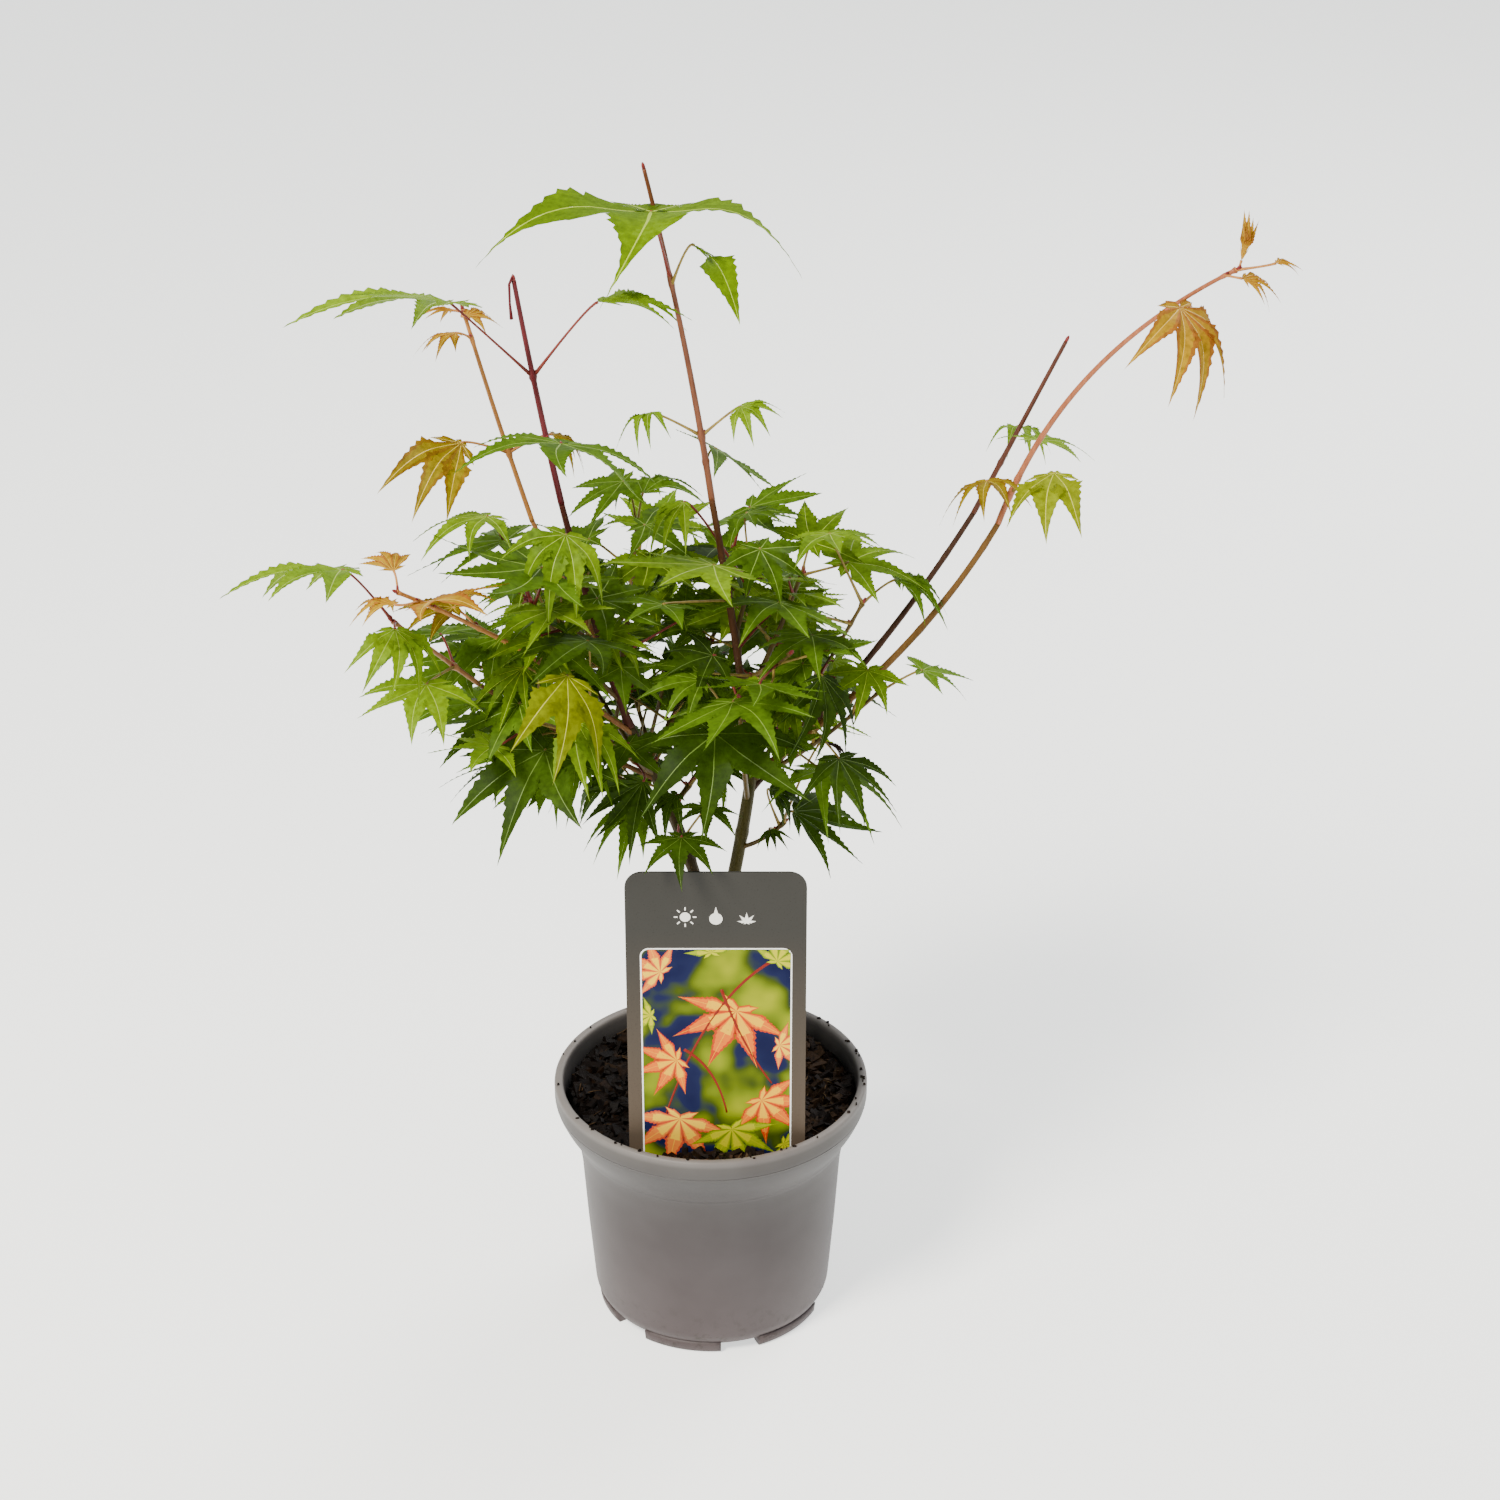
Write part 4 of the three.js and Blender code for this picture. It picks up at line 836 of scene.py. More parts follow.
# The lobes' lengths from one side to the other, and how fast they run out to their tips
LOBE_SETS = {
    "seven": ([0.32, 0.84, 0.97, 1, 0.97, 0.84, 0.32], 1.2),
    "three": ([0.08, 0.36, 0.92, 1, 0.92, 0.36, 0.08], 1.2),
    "sweeping": ([0.1, 0.42, 1.14, 0.95, 1.14, 0.42, 0.1], 2.3),
    "one": ([0.06, 0.14, 0.45, 1, 0.45, 0.14, 0.06], 1.1),
}
BLADE_NOTCH = 0.29
BLADE_WIDTH = 0.152
WIDEST_AT = 0.44
# How wide a lobe may be where it starts, as a share of its widest
NOTCH_SHARE = 0.84
TEETH = 9


def lobe_width(share, start, first, widest, taper):
    """Half the width of a lobe past its notch, at a share of its length."""
    if share < WIDEST_AT:
        rise = (share - start) / (WIDEST_AT - start)
        return first + (widest - first) * math.sin(math.pi / 2 * max(0.0, rise))
    return widest * (1 - (share - WIDEST_AT) / (1 - WIDEST_AT)) ** taper


def lobe_rows(length, gap, seed, taper):
    """Stations along one side of a lobe: (distance, half width, tooth sign), for the gap beside it."""
    notch = min(BLADE_NOTCH, 0.6 * length)
    slope = math.tan(math.radians(gap / 2))
    widest = BLADE_WIDTH * (0.3 + 0.7 * length)
    rows = [(s * notch, min(s * notch * slope, widest * NOTCH_SHARE), 0) for s in (0, 0.25, 0.5, 0.75, 1)]
    first = rows[-1][1]
    step = (length - notch) / TEETH
    for j in range(TEETH):
        low = notch + step * (j + between(seed, 2 * j, -0.12, 0.12))
        high = notch + step * (j + between(seed, 2 * j + 1, 0.62, 0.8))
        depth = between(seed, 100 + j, 0.07, 0.2)
        if j:
            width = lobe_width(low / length, notch / length, first, widest, taper) * (1 - depth)
            rows.append((low, width, -1))
        rows.append((high, lobe_width(high / length, notch / length, first, widest, taper) * 1.04, 1))
    rows.append((length, 0.0, 0))
    return rows


print("stations along one side of a lobe:", len(lobe_rows(1, LOBE_GAP, 1, 1.2)))

# %% The blade's points and faces
OUTER_GAP = 62
RIB_WIDTH = 0.0056
RIB_LIFT = 0.6
# How far out the faces beside the midrib end, as a share of the lobe's half width
INNER_SHARE = 0.6
BLADE_VARIANTS = 4


def blade_pattern(variant, lengths, taper):
    """The flat leaf: per point its distance along and across its lobe, lobe, tooth sign and lift.

    Its faces come in three parts: the raised midribs, the blade beside them and the blade's edge."""
    rows, rib, inner, edge = [], [], [], []
    for k, length in enumerate(lengths):
        for hand in (-1, 1):
            other = k + hand
            gap = abs(BLADE_ANGLES[other] - BLADE_ANGLES[k]) if 0 <= other < 7 else 2 * OUTER_GAP
            first = len(rows)
            stations = lobe_rows(length, gap, 100 * variant + 10 * k + hand, taper)
            for s, width, tooth in stations:
                slim = RIB_WIDTH * (1 - 0.7 * s / length)
                rows.append((s, 0.0, k, 0, RIB_LIFT * slim))
                rows.append((s, hand * min(slim, 0.3 * width), k, 0, 0))
                rows.append((s, hand * width * INNER_SHARE, k, 0, 0))
                rows.append((s, hand * width, k, tooth, 0))
            for i in range(len(stations) - 1):
                for c, faces in enumerate((rib, inner, edge)):
                    a = first + 4 * i + c
                    quad = [a, a + 4, a + 5, a + 1]
                    faces.append(quad if hand < 0 else quad[::-1])
    return np.array(rows), np.array(rib), np.array(inner), np.array(edge)


blade_patterns = {
    kind: [blade_pattern(variant, *lobes) for variant in range(BLADE_VARIANTS)]
    for kind, lobes in LOBE_SETS.items()
}
print("points of one blade:", len(blade_patterns["seven"][0][0]))

# %% How a leaf carries its lobes
# Each habit: the lowest and highest closing of the lobes' angles, breadth, fold along the midribs, cup
# across the leaf and sag to the tips, then the sway to the side, and its set of lobes.
HABITS = {
    "flat": ((0.92, 1.1), (0.9, 1.12), (0.08, 0.3), (-0.05, 0.12), (0.0, 0.3), 0.3, "seven"),
    "level": ((0.95, 1.15), (0.9, 1.15), (0.08, 0.25), (-0.12, 0.02), (-0.3, 0.0), 0.35, "seven"),
    "spread": ((1.1, 1.26), (0.85, 1.05), (0.08, 0.25), (-0.14, 0.02), (-0.1, 0.2), 0.35, "seven"),
    "narrow": ((0.8, 1.05), (0.6, 0.8), (0.1, 0.4), (0.0, 0.25), (0.0, 0.5), 0.35, "seven"),
    "wide": ((1.75, 1.85), (1.35, 1.5), (0.05, 0.15), (-0.48, -0.42), (0.5, 0.6), 0.5, "sweeping"),
    "hanging": ((0.66, 0.84), (0.85, 1.05), (0.15, 0.45), (0.15, 0.45), (0.4, 0.9), 0.25, "seven"),
    "broad": ((0.7, 0.82), (1.25, 1.4), (0.15, 0.3), (0.0, 0.15), (0.5, 0.8), 0.15, "three"),
    "single": ((0.15, 0.25), (1.5, 1.7), (0.1, 0.25), (0.0, 0.15), (0.8, 1.0), 0.15, "one"),
    "folded": ((0.42, 0.62), (0.55, 0.75), (0.5, 1.0), (0.0, 0.3), (0.0, 0.4), 0.2, "seven"),
    "bundled": ((0.1, 0.22), (0.5, 0.65), (0.3, 0.6), (0.0, 0.1), (-0.1, 0.2), 0.12, "seven"),
    "curled": ((0.55, 0.8), (0.95, 1.2), (0.3, 0.6), (0.1, 0.5), (0.6, 1.2), 0.5, "seven"),
    "withered": ((0.3, 0.5), (0.3, 0.45), (0.6, 1.1), (0.0, 0.5), (0.8, 1.6), 0.6, "seven"),
}
CROWN_HABITS = {
    "high": ["level"] * 5 + ["flat"] * 3 + ["spread"] * 2 + ["curled"],
    "middle": ["level"] * 2 + ["flat"] * 4 + ["spread"] * 2 + ["narrow", "hanging", "curled"],
    "low": ["flat"] * 3 + ["hanging"] * 2 + ["narrow"] * 4 + ["curled"],
}


def shaped(pattern, leaf, seed, habit):
    """The pattern's points in space: the lobes close up, bend, sag, fold along their midribs and ripple."""
    s, q, lobe, tooth, lift = pattern.T
    k = lobe.astype(int)
    closing, breadth, fold, cup, sag = (between(seed, 40 + i, *HABITS[habit][i]) for i in range(5))
    sway = HABITS[habit][5]

    def each(first, low, high):
        return np.array([between(seed, first + i, low, high) for i in range(7)])[k]

    beyond = np.clip(s - BLADE_NOTCH, 0, None)
    freed = np.minimum(1, beyond / 0.12)
    angle = np.radians(np.array(BLADE_ANGLES) * closing)[k]
    half_gap = math.radians(LOBE_GAP / 2)
    joint = math.tan(half_gap * closing) / math.tan(half_gap)
    s = s + beyond * each(50, -0.2, 0.05)
    q = q * (joint + (breadth - joint) * freed)
    across = q + each(60, -0.09, 0.09) * beyond + each(10, -sway, sway) * beyond**2
    x = s * np.cos(angle) - across * np.sin(angle)
    y = s * np.sin(angle) + across * np.cos(angle)
    n = -LEAF_CURL * (x**2 + y**2) - cup * y**2 - (sag + each(20, -0.1, 0.45)) * beyond**2
    n += fold * np.abs(q) + 0.005 * tooth + each(30, -1.2, 1.2) * beyond * q + lift
    points = x[:, None] * leaf.ahead + y[:, None] * leaf.side + n[:, None] * leaf.normal
    return leaf.base + leaf.size * points


print("habits:", len(HABITS))

# %% [markdown]
# ## Leaf materials
#
# A maple leaf is a thin waxy sheet that light shines through. A plain glossy shader would make it plastic, so
# each leaf material mixes a Principled shader, almost without gloss, with a Translucent one. The tints are
# plain base colours. Noise with patches of 34 mm shifts the colour from leaf to leaf, and a mottling of
# 2.4 mm stands for the net of veins, which is too fine to draw. The golden and orange leaves are redder along
# their edges, so there the edge has a material of its own.

# %% Leaf tints
# Each tint: light patches, dark patches, midribs
TINTS = {
    "deep": ("#3e5810", "#25390a", "#5a7424"),
    "mid": ("#5c7e10", "#425f0a", "#7c9836"),
    "fresh": ("#7e9e12", "#60820c", "#9cb444"),
    "lime": ("#6e8e00", "#567400", "#9cb430"),
    "yellow": ("#869204", "#747c02", "#bcbc46"),
    "golden": ("#988608", "#7e6a06", "#c4aa4a"),
    "orange": ("#c29a1c", "#a67a10", "#d8b44c"),
    "withered": ("#33231a", "#1c120d", "#4a3628"),
}
# The edges of the golden and orange leaves: light, dark
EDGE_TINTS = {"golden": ("#90700e", "#76540c"), "orange": ("#b67a28", "#985a1c")}


LIGHT_THROUGH = 0.3


def leaf_skin(name, light, dark):
    """A leaf: waxy above, with light shining through, and patches of two close colours."""
    material, tree, shader = new_material(name, Roughness=0.5, Specular_IOR_Level=0.07)
    shade = ramp(tree, noise(tree, 34, 2), (0.36, dark), (0.64, light))
    mottle = ramp(tree, noise(tree, 2.4, 4), (0.3, "#b4b4b4"), (0.7, "#ffffff"))
    base = multiplied(tree, shade, mottle)
    tree.links.new(base, shader.inputs["Base Color"])
    bump(tree, shader, noise(tree, 1.4, 3), 0.1, 0.6)
    glow = add_node(tree, "ShaderNodeBsdfTranslucent", {"Color": mixed(tree, 0.5, base, linear(light))})
    both = add_node(tree, "ShaderNodeMixShader", {0: LIGHT_THROUGH, 1: shader.outputs[0], 2: glow.outputs[0]})
    tree.links.new(both.outputs[0], tree.nodes["Material Output"].inputs["Surface"])
    return material


leaf_skins = {tint: leaf_skin(f"{tint} maple leaf", light, dark) for tint, (light, dark, _) in TINTS.items()}
edge_skins = {tint: leaf_skin(f"{tint} leaf edge", light, dark) for tint, (light, dark) in EDGE_TINTS.items()}
leaf_ribs = {
    tint: new_material(f"{tint} leaf rib", Base_Color=linear(rib), Roughness=0.5)[0]
    for tint, (_, _, rib) in TINTS.items()
}
print("leaf materials:", len(leaf_skins) + len(edge_skins) + len(leaf_ribs))

# %% All leaves, joined by tint
YOUNG_MASSES = ["left_front_spray", "right_arching_spray"]
other_masses = [mass.name for mass in masses if mass.name not in YOUNG_MASSES]
blades = {tint: Gathered() for tint in TINTS}
edges = {tint: Gathered() for tint in EDGE_TINTS}
rib_lines = {tint: Gathered() for tint in TINTS}


def leaf_seed(mass_count, leaf_count):
    """The seed of a leaf's own shape."""
    return 7000 + 97 * mass_count + leaf_count


for m, mass in enumerate(masses):
    for count, (leaf, tint, habit) in enumerate(mass.leaves):
        seed = leaf_seed(m, count)
        if not habit:
            habits = CROWN_HABITS[mass.name.split("_")[0]]
            habit = habits[int(len(habits) * chance(seed, 80))]
        pattern, rib_faces, inner_faces, edge_faces = blade_patterns[HABITS[habit][6]][seed % BLADE_VARIANTS]
        points = shaped(pattern, leaf, seed, habit)
        if tint in EDGE_TINTS:
            blades[tint].add(points, inner_faces)
            edges[tint].add(points, edge_faces)
        else:
            blades[tint].add(points, inner_faces, edge_faces)
        rib_lines[tint].add(points, rib_faces)
for tint in [name for name in TINTS if blades[name].points]:
    slot, stands_for = ("young_foliage", YOUNG_MASSES) if tint == "orange" else ("foliage", other_masses)
    piece(f"{tint}_leaves", blades[tint], leaf_skins[tint], slot, stands_for, weld=True)
    piece(f"{tint}_leaf_ribs", rib_lines[tint], leaf_ribs[tint], slot, weld=True)
for tint, shape in edges.items():
    piece(f"{tint}_leaf_edges", shape, edge_skins[tint], "young_foliage" if tint == "orange" else "foliage")

# %% [markdown]
# ## Stalks, twigs and buds
#
# A stalk is about a millimetre thick, and a curve with a bevel could draw it. Tubes in code are used instead,
# because they can swell at each leaf pair and all join into one mesh. The young bark is smooth, with fine
# lines: red-brown on the leader, dark red on the left leader, orange-tan on the young left shoots, pink-tan
# on the arching one, and olive-brown in the crown. Stalks are green-tan or red, and orange under orange
# and golden leaves.

# %% Tubes for stalks and stems, and buds
def ring_walls(rings, sides):
    """Quads between rings of points that follow one another, `sides` points to a ring."""
    j = np.arange(sides)
    k = (j + 1) % sides
    quads = np.stack([j, k, k + sides, j + sides], 1)
    return np.concatenate([quads + i * sides for i in range(rings - 1)])


def tube(line, radii, sides):
    """A round tube along a line of points; both ends are closed."""
    line = np.asarray(line)
    chord = unit(line[-1] - line[0])
    turns = np.arange(sides) * math.tau / sides
    rings = []
    for i, (centre, radius) in enumerate(zip(line, radii)):
        way = unit(line[min(i + 1, len(line) - 1)] - line[max(i - 1, 0)])
        side, across = square_to(way, chord)
        rings.append(centre + radius * (np.outer(np.cos(turns), side) + np.outer(np.sin(turns), across)))
    points = np.concatenate([*rings, line[:1], line[-1:]])
    count = len(line) * sides
    j = np.arange(sides)
    k = (j + 1) % sides
    foot_cap = np.stack([np.full(sides, count), k, j], 1)
    tip_cap = np.stack([np.full(sides, count + 1), count - sides + j, count - sides + k], 1)
    return points, ring_walls(len(line), sides), np.concatenate([foot_cap, tip_cap])


STALK_RADIUS = 0.46


def stalk_tube(leaf, seed):
    """A leaf's stalk: it leaves the twig thick, thins, and bends over into the leaf."""
    shares = np.linspace(0, 1, 9)
    slack = vec(0, 0, -0.06 * np.linalg.norm(leaf.elbow - leaf.root)) * between(seed, 60, -0.6, 1.0)
    line = [curve(leaf.root, leaf.elbow + slack, leaf.base, t) for t in shares]
    foot_swell, leaf_swell = 0.4 * (1 - shares) ** 8, 0.12 * shares**6
    radii = STALK_RADIUS + foot_swell + leaf_swell
    return tube(line, radii, 6)


def bud(at, way, length, radius):
    """A small pointed bud."""
    shares = np.linspace(0, 1, 5)
    line = at + np.outer(shares * length, way)
    return tube(line, radius * np.sqrt(np.clip(np.sin(math.pi * (0.18 + 0.8 * shares)), 0, 1)), 6)


RING_STEP = 1.6
NODE_SWELL, NODE_LENGTH = 0.3, 1.3


def stem_tube(stem, sides, stout):
    """A twig with a small swelling at each leaf pair; stout thickens it."""
    length = stem.length()
    shares = np.linspace(0, 1, max(5, int(length / RING_STEP)))
    radii = stout * stem.radius(shares)
    for node in stem.nodes:
        radii = radii + NODE_SWELL * np.exp(-(((shares - node) * length / NODE_LENGTH) ** 2))
    return tube([stem.point(t) for t in shares], radii, sides)


print("points of a bud:", len(bud(vec(0, 0, 0), UP, 2, 0.6)[0]))


# %% Bark of the twigs
def twig_skin(name, light, dark, roughness=0.45):
    """Smooth young bark with fine lines along the twig."""
    material, tree, shader = new_material(name, Roughness=roughness, Specular_IOR_Level=0.2)
    lines = noise(tree, 1.6, 4, (1, 1, 0.12))
    patches = noise(tree, 14, 2)
    base = mixed(tree, patches, ramp(tree, lines, (0.35, dark), (0.62, light)), linear(light))
    tree.links.new(base, shader.inputs["Base Color"])
    bump(tree, shader, lines, 0.15, 0.7)
    return material


TWIG_SKINS = {
    "leader_spray": twig_skin("red-brown young bark", "#74452c", "#482216"),
    "left_leader_spray": twig_skin("dark red young bark", "#5e161c", "#340a10"),
    "left_slender_spray": twig_skin("orange-tan young bark", "#a06c34", "#7a4a22"),
    "right_arching_spray": twig_skin("pink-tan young bark", "#a0603e", "#783e24"),
    "right_second_spray": twig_skin("brown young bark", "#583020", "#361a10"),
    "left_low_spray": twig_skin("tan young bark", "#926842", "#6c4428"),
    "crown": twig_skin("olive-brown crown twig", "#5c4a20", "#382a10"),
}
SHARED_BARK = {"left_front_spray": "left_slender_spray"}
stalk_skins = {
    "green": twig_skin("green-tan leaf stalk", "#8a7638", "#604820", 0.4),
    "red": twig_skin("red leaf stalk", "#7c362c", "#50181c", 0.4),
    "orange": twig_skin("orange leaf stalk", "#b67e42", "#92582a", 0.4),
}
bud_skin = twig_skin("dark red bud", "#7d2f2c", "#4a171b", 0.35)
print("twig barks:", len(TWIG_SKINS))

# %% Twigs, stalks and buds, joined by their bark
LONG_SHOOT_STOUT = 1.16
RED_STALK_CHANCE = 0.35

twigs = {}
stalks = {kind: Gathered() for kind in stalk_skins}
buds = Gathered()
for m, mass in enumerate(masses):
    kind = SHARED_BARK.get(mass.name, mass.name)
    if kind not in TWIG_SKINS:
        kind = "crown"
    shape = twigs.setdefault(kind, Gathered())
    for k, twig in enumerate(mass.twigs):
        stout = 1.0 if k or kind == "crown" else LONG_SHOOT_STOUT
        shape.add(*stem_tube(twig, 8 if k else 10, stout))
        buds.add(*bud(twig.tip - twig.tangent(1) * 0.4, twig.tangent(1), 3.0, twig.end * 1.15))
    for count, (leaf, tint, _) in enumerate(mass.leaves):
        seed = leaf_seed(m, count)
        red = mass.name == "left_leader_spray" or chance(seed, 70) < RED_STALK_CHANCE
        stalk = "orange" if tint in ("orange", "golden") else "red" if red else "green"
        stalks[stalk].add(*stalk_tube(leaf, seed))
        way = unit(leaf.elbow - leaf.root)
        buds.add(*bud(leaf.root + way * 0.6 + UP * 0.3, unit(way + UP * 0.9), 2.0, 0.6))
# A dry stalk hangs from the left leader's tip: up, over and down
hook = np.array([(0, 0, -0.5), (-0.6, -0.8, 1.4), (-1.6, -1.2, -1), (-1.6, -1.4, -8), (-1.2, -1.4, -14)])
left_leader = next(mass for mass in masses if mass.name == "left_leader_spray")
twigs["left_leader_spray"].add(*tube(left_leader.twigs[0].tip + hook, [0.7, 0.6, 0.5, 0.45, 0.7], 8))
for kind, shape in twigs.items():
    piece(f"{kind}_twigs", shape, TWIG_SKINS[kind], "bark")
for kind, shape in stalks.items():
    piece(f"{kind}_leaf_stalks", shape, stalk_skins[kind], "foliage")
piece("buds", buds, bud_skin, "bark")

# %% [markdown]
# ## Trunk and boughs
#
# The bark is still young: olive on the stems, brown or tan higher up. A displacement texture could roughen a
# plain tube, but the relief follows the growth, so it is worked into the mesh: ridges along the wood, a ring
# scar every 45 mm where a leaf pair once sat, a collar where a bough leaves its parent, and a flare at the
# foot of the trunk.

# %% Limbs with the bark's relief
LIMB_SKINS = {
    "trunk": ("#51451f", "#241c0a"),
    "right_stem": ("#534c1e", "#28240a"),
    "left_stem": ("#46381a", "#221808"),
    "leader_bough": ("#5a381c", "#32190e"),
    "left_leader_bough": ("#52261a", "#2e100a"),
    "left_slender_bough": ("#8c6033", "#644021"),
    "left_front_bough": ("#8c6033", "#644021"),
    "left_low_bough": ("#6e4c28", "#482e14"),
    "right_arching_bough": ("#745426", "#4a3010"),
    "right_second_bough": ("#4a2e1c", "#2a180e"),
}
SCAR_EVERY = 45
COLLAR = 0.36
BARK_SIDES, BARK_STEP = 28, 1.2


def bark_tube(stem, seed, collar):
    """A limb with ridges along it, ring scars round it and a collar where it leaves its parent."""
    length = stem.length()
    shares = np.linspace(0, 1, int(length / BARK_STEP))
    turns = np.arange(BARK_SIDES) * math.tau / BARK_SIDES
    centres = np.array([stem.point(t) for t in shares])
    points, walls, caps = tube(centres, np.ones(len(shares)), BARK_SIDES)
    along = (shares * length)[:, None]
    radius = stem.radius(shares)[:, None] + stem.flare * (1 - shares[:, None]) ** 6
    radius = radius * (1 + collar * np.exp(-((along / (2.4 * stem.base)) ** 2)))
    # Two waves round the limb make the ridges, and a scar is a raised ring with a groove in it
    ridges = 0.035 * np.sin(7 * turns + 0.05 * along) + 0.022 * np.sin(13 * turns - 0.11 * along + seed)
    from_scar = (along + 9 * seed) % SCAR_EVERY - SCAR_EVERY / 2
    scars = 0.13 * np.exp(-((from_scar / 1.6) ** 2)) - 0.06 * np.exp(-((from_scar / 0.5) ** 2))
    radius = radius * (1 + ridges + scars * (1 if stem.base < 4 else 0.4))
    rings = points[:-2].reshape(len(shares), BARK_SIDES, 3)
    rings = centres[:, None] + (rings - centres[:, None]) * radius[:, :, None]
    return np.concatenate([rings.reshape(-1, 3), points[-2:]]), walls, caps


def bark(name, light, dark):
    """Bark with long streaks and pale pores."""
    material, tree, shader = new_material(name, Roughness=0.62, Specular_IOR_Level=0.15)
    streaks = noise(tree, 2.2, 5, (1, 1, 0.08))
    pores = ramp(tree, noise(tree, 0.9, 2, (1, 1, 0.6)), (0.66, "#000000"), (0.74, "#ffffff"))
    base = mixed(tree, streaks, linear(dark), linear(light))
    faint = add_node(tree, "ShaderNodeMath", {0: pores, 1: 0.35}, operation="MULTIPLY").outputs[0]
    tree.links.new(mixed(tree, faint, base, linear("#8c7a48")), shader.inputs["Base Color"])
    bump(tree, shader, streaks, 0.4, 0.8)
    return material


for k, (name, stem) in enumerate(limbs.items()):
    shape = Gathered([bark_tube(stem, k, 0 if name == "trunk" else COLLAR)])
    piece(f"{name}_bark", shape, bark(f"{name} bark", *LIMB_SKINS[name]), "bark", [name])

# %% [markdown]
# ## The pot
#
# A 13 cm nursery pot of grey-brown polypropylene, moulded in one piece: a plain tapered body, a shoulder that
# flares to a thick rolled rim, a fine moulding line, and feet under the base. A Screw modifier could turn its
# profile round the axis. The turning is done in code here, so that the wall inside, the rounded corners and
# the feet come from the same named sizes.

# %% The pot's profile
POT_HEIGHT = 107
RIM_RADIUS = 65
BODY_TOP, BODY_BASE, WALL = 54.2, 49.6, 1.5
FLOOR_UNDERSIDE = 4.2


def rounded(corner_a, corner, corner_b, radius, steps=4):
    """Points that round a profile's corner."""
    a, c, b = (np.array(p, float) for p in (corner_a, corner, corner_b))
    start, end = c + unit(a - c) * radius, c + unit(b - c) * radius
    shares = np.linspace(0, 1, steps + 1)
    return [tuple(curve(start, c, end, t)) for t in shares]


def turned_profile(profile, segments):
    """A closed profile of (radius, height) turned round the upright axis."""
    profile = np.array(profile, float)
    turns = np.arange(segments) * math.tau / segments
    ring = np.stack([np.cos(turns), np.sin(turns)], 1)
    points = np.concatenate([np.concatenate([r * ring, np.full((segments, 1), z)], 1) for r, z in profile])
    return points, ring_walls(len(profile), segments)


def pot_profile():
    """The pot's section from the middle of its underside, up outside, over the rim and down inside."""
    rim_in = RIM_RADIUS - 3.7
    # Each corner: (radius, height), and how far its rounding reaches along both sides
    corners = [
        ((15, 0), 0), ((17.5, FLOOR_UNDERSIDE), 0.8), ((BODY_BASE - 2.2, FLOOR_UNDERSIDE), 1.2),
        ((BODY_BASE, FLOOR_UNDERSIDE + 4), 2), ((BODY_BASE + 2.6, 40), 0), ((BODY_TOP, 70), 3),
        ((BODY_TOP + 1.2, 78), 2), ((BODY_TOP + 2.2, 82), 0), ((BODY_TOP + 2.75, 82.3), 0),
        ((BODY_TOP + 3.6, 84.5), 2), ((BODY_TOP + 7.6, 91), 3), ((RIM_RADIUS - 0.6, 97), 1.6),
        ((RIM_RADIUS, 99.5), 1.2), ((RIM_RADIUS, POT_HEIGHT), 1.7), ((rim_in, POT_HEIGHT), 1.7),
        ((rim_in - 0.8, 97), 2), ((BODY_TOP + 5.2, 90.5), 2), ((BODY_TOP + 1.9, 84.6), 2),
        ((BODY_TOP - WALL, 70), 3), ((BODY_BASE - WALL, FLOOR_UNDERSIDE + 5), 2),
        ((BODY_BASE - WALL - 1.6, FLOOR_UNDERSIDE + WALL), 1), ((0.01, FLOOR_UNDERSIDE + WALL), 0),
    ]
    line = [(0.01, 0)]
    for i, (corner, radius) in enumerate(corners):
        if radius:
            line += rounded(corners[i - 1][0], corner, corners[i + 1][0], radius)
        else:
            line.append(corner)
    return line


FOOT_WAYS = [-105 + 60 * i for i in range(6)]
FOOT_REACH = 20


def pot_foot(way):
    """One foot under the base, with rounded ends, as far as FOOT_REACH degrees to both sides."""
    turns = np.radians(np.linspace(way - FOOT_REACH, way + FOOT_REACH, 13))
    # Each level: height, inner and outer radius
    levels = ((5.4, 41.9, 48.6), (1.0, 42.3, 48.0), (0.3, 42.7, 47.5), (0, 43.4, 46.8))
    rows = [(inner, z) for z, inner, _ in levels] + [(outer, z) for z, _, outer in levels[::-1]]
    points = np.array([(r * math.cos(t), r * math.sin(t), z) for t in turns for r, z in rows])
    n = len(rows)
    ends = np.array([np.arange(n)[::-1], np.arange(n) + (len(turns) - 1) * n])
    return points, ring_walls(len(turns), n), ends


print("points of the pot's section:", len(pot_profile()))


# %% [markdown]
# The plastic is recycled polypropylene, moulded with a matt skin. Its grey carries painted light: paler and a
# little warmer low down, for light thrown up by the floor, and lighter on the rim, with an almost white painted
# highlight on its top where the light catches it. A photograph of a pot could be wrapped round it. Here the
# height picks the grey and its painted light, soft clouds of 30 mm break it up, and splashed dirt of 5 mm
# gathers near the foot, as a pot gets it from watering.

# %% The pot's plastic
SPLASH_HEIGHT = 26


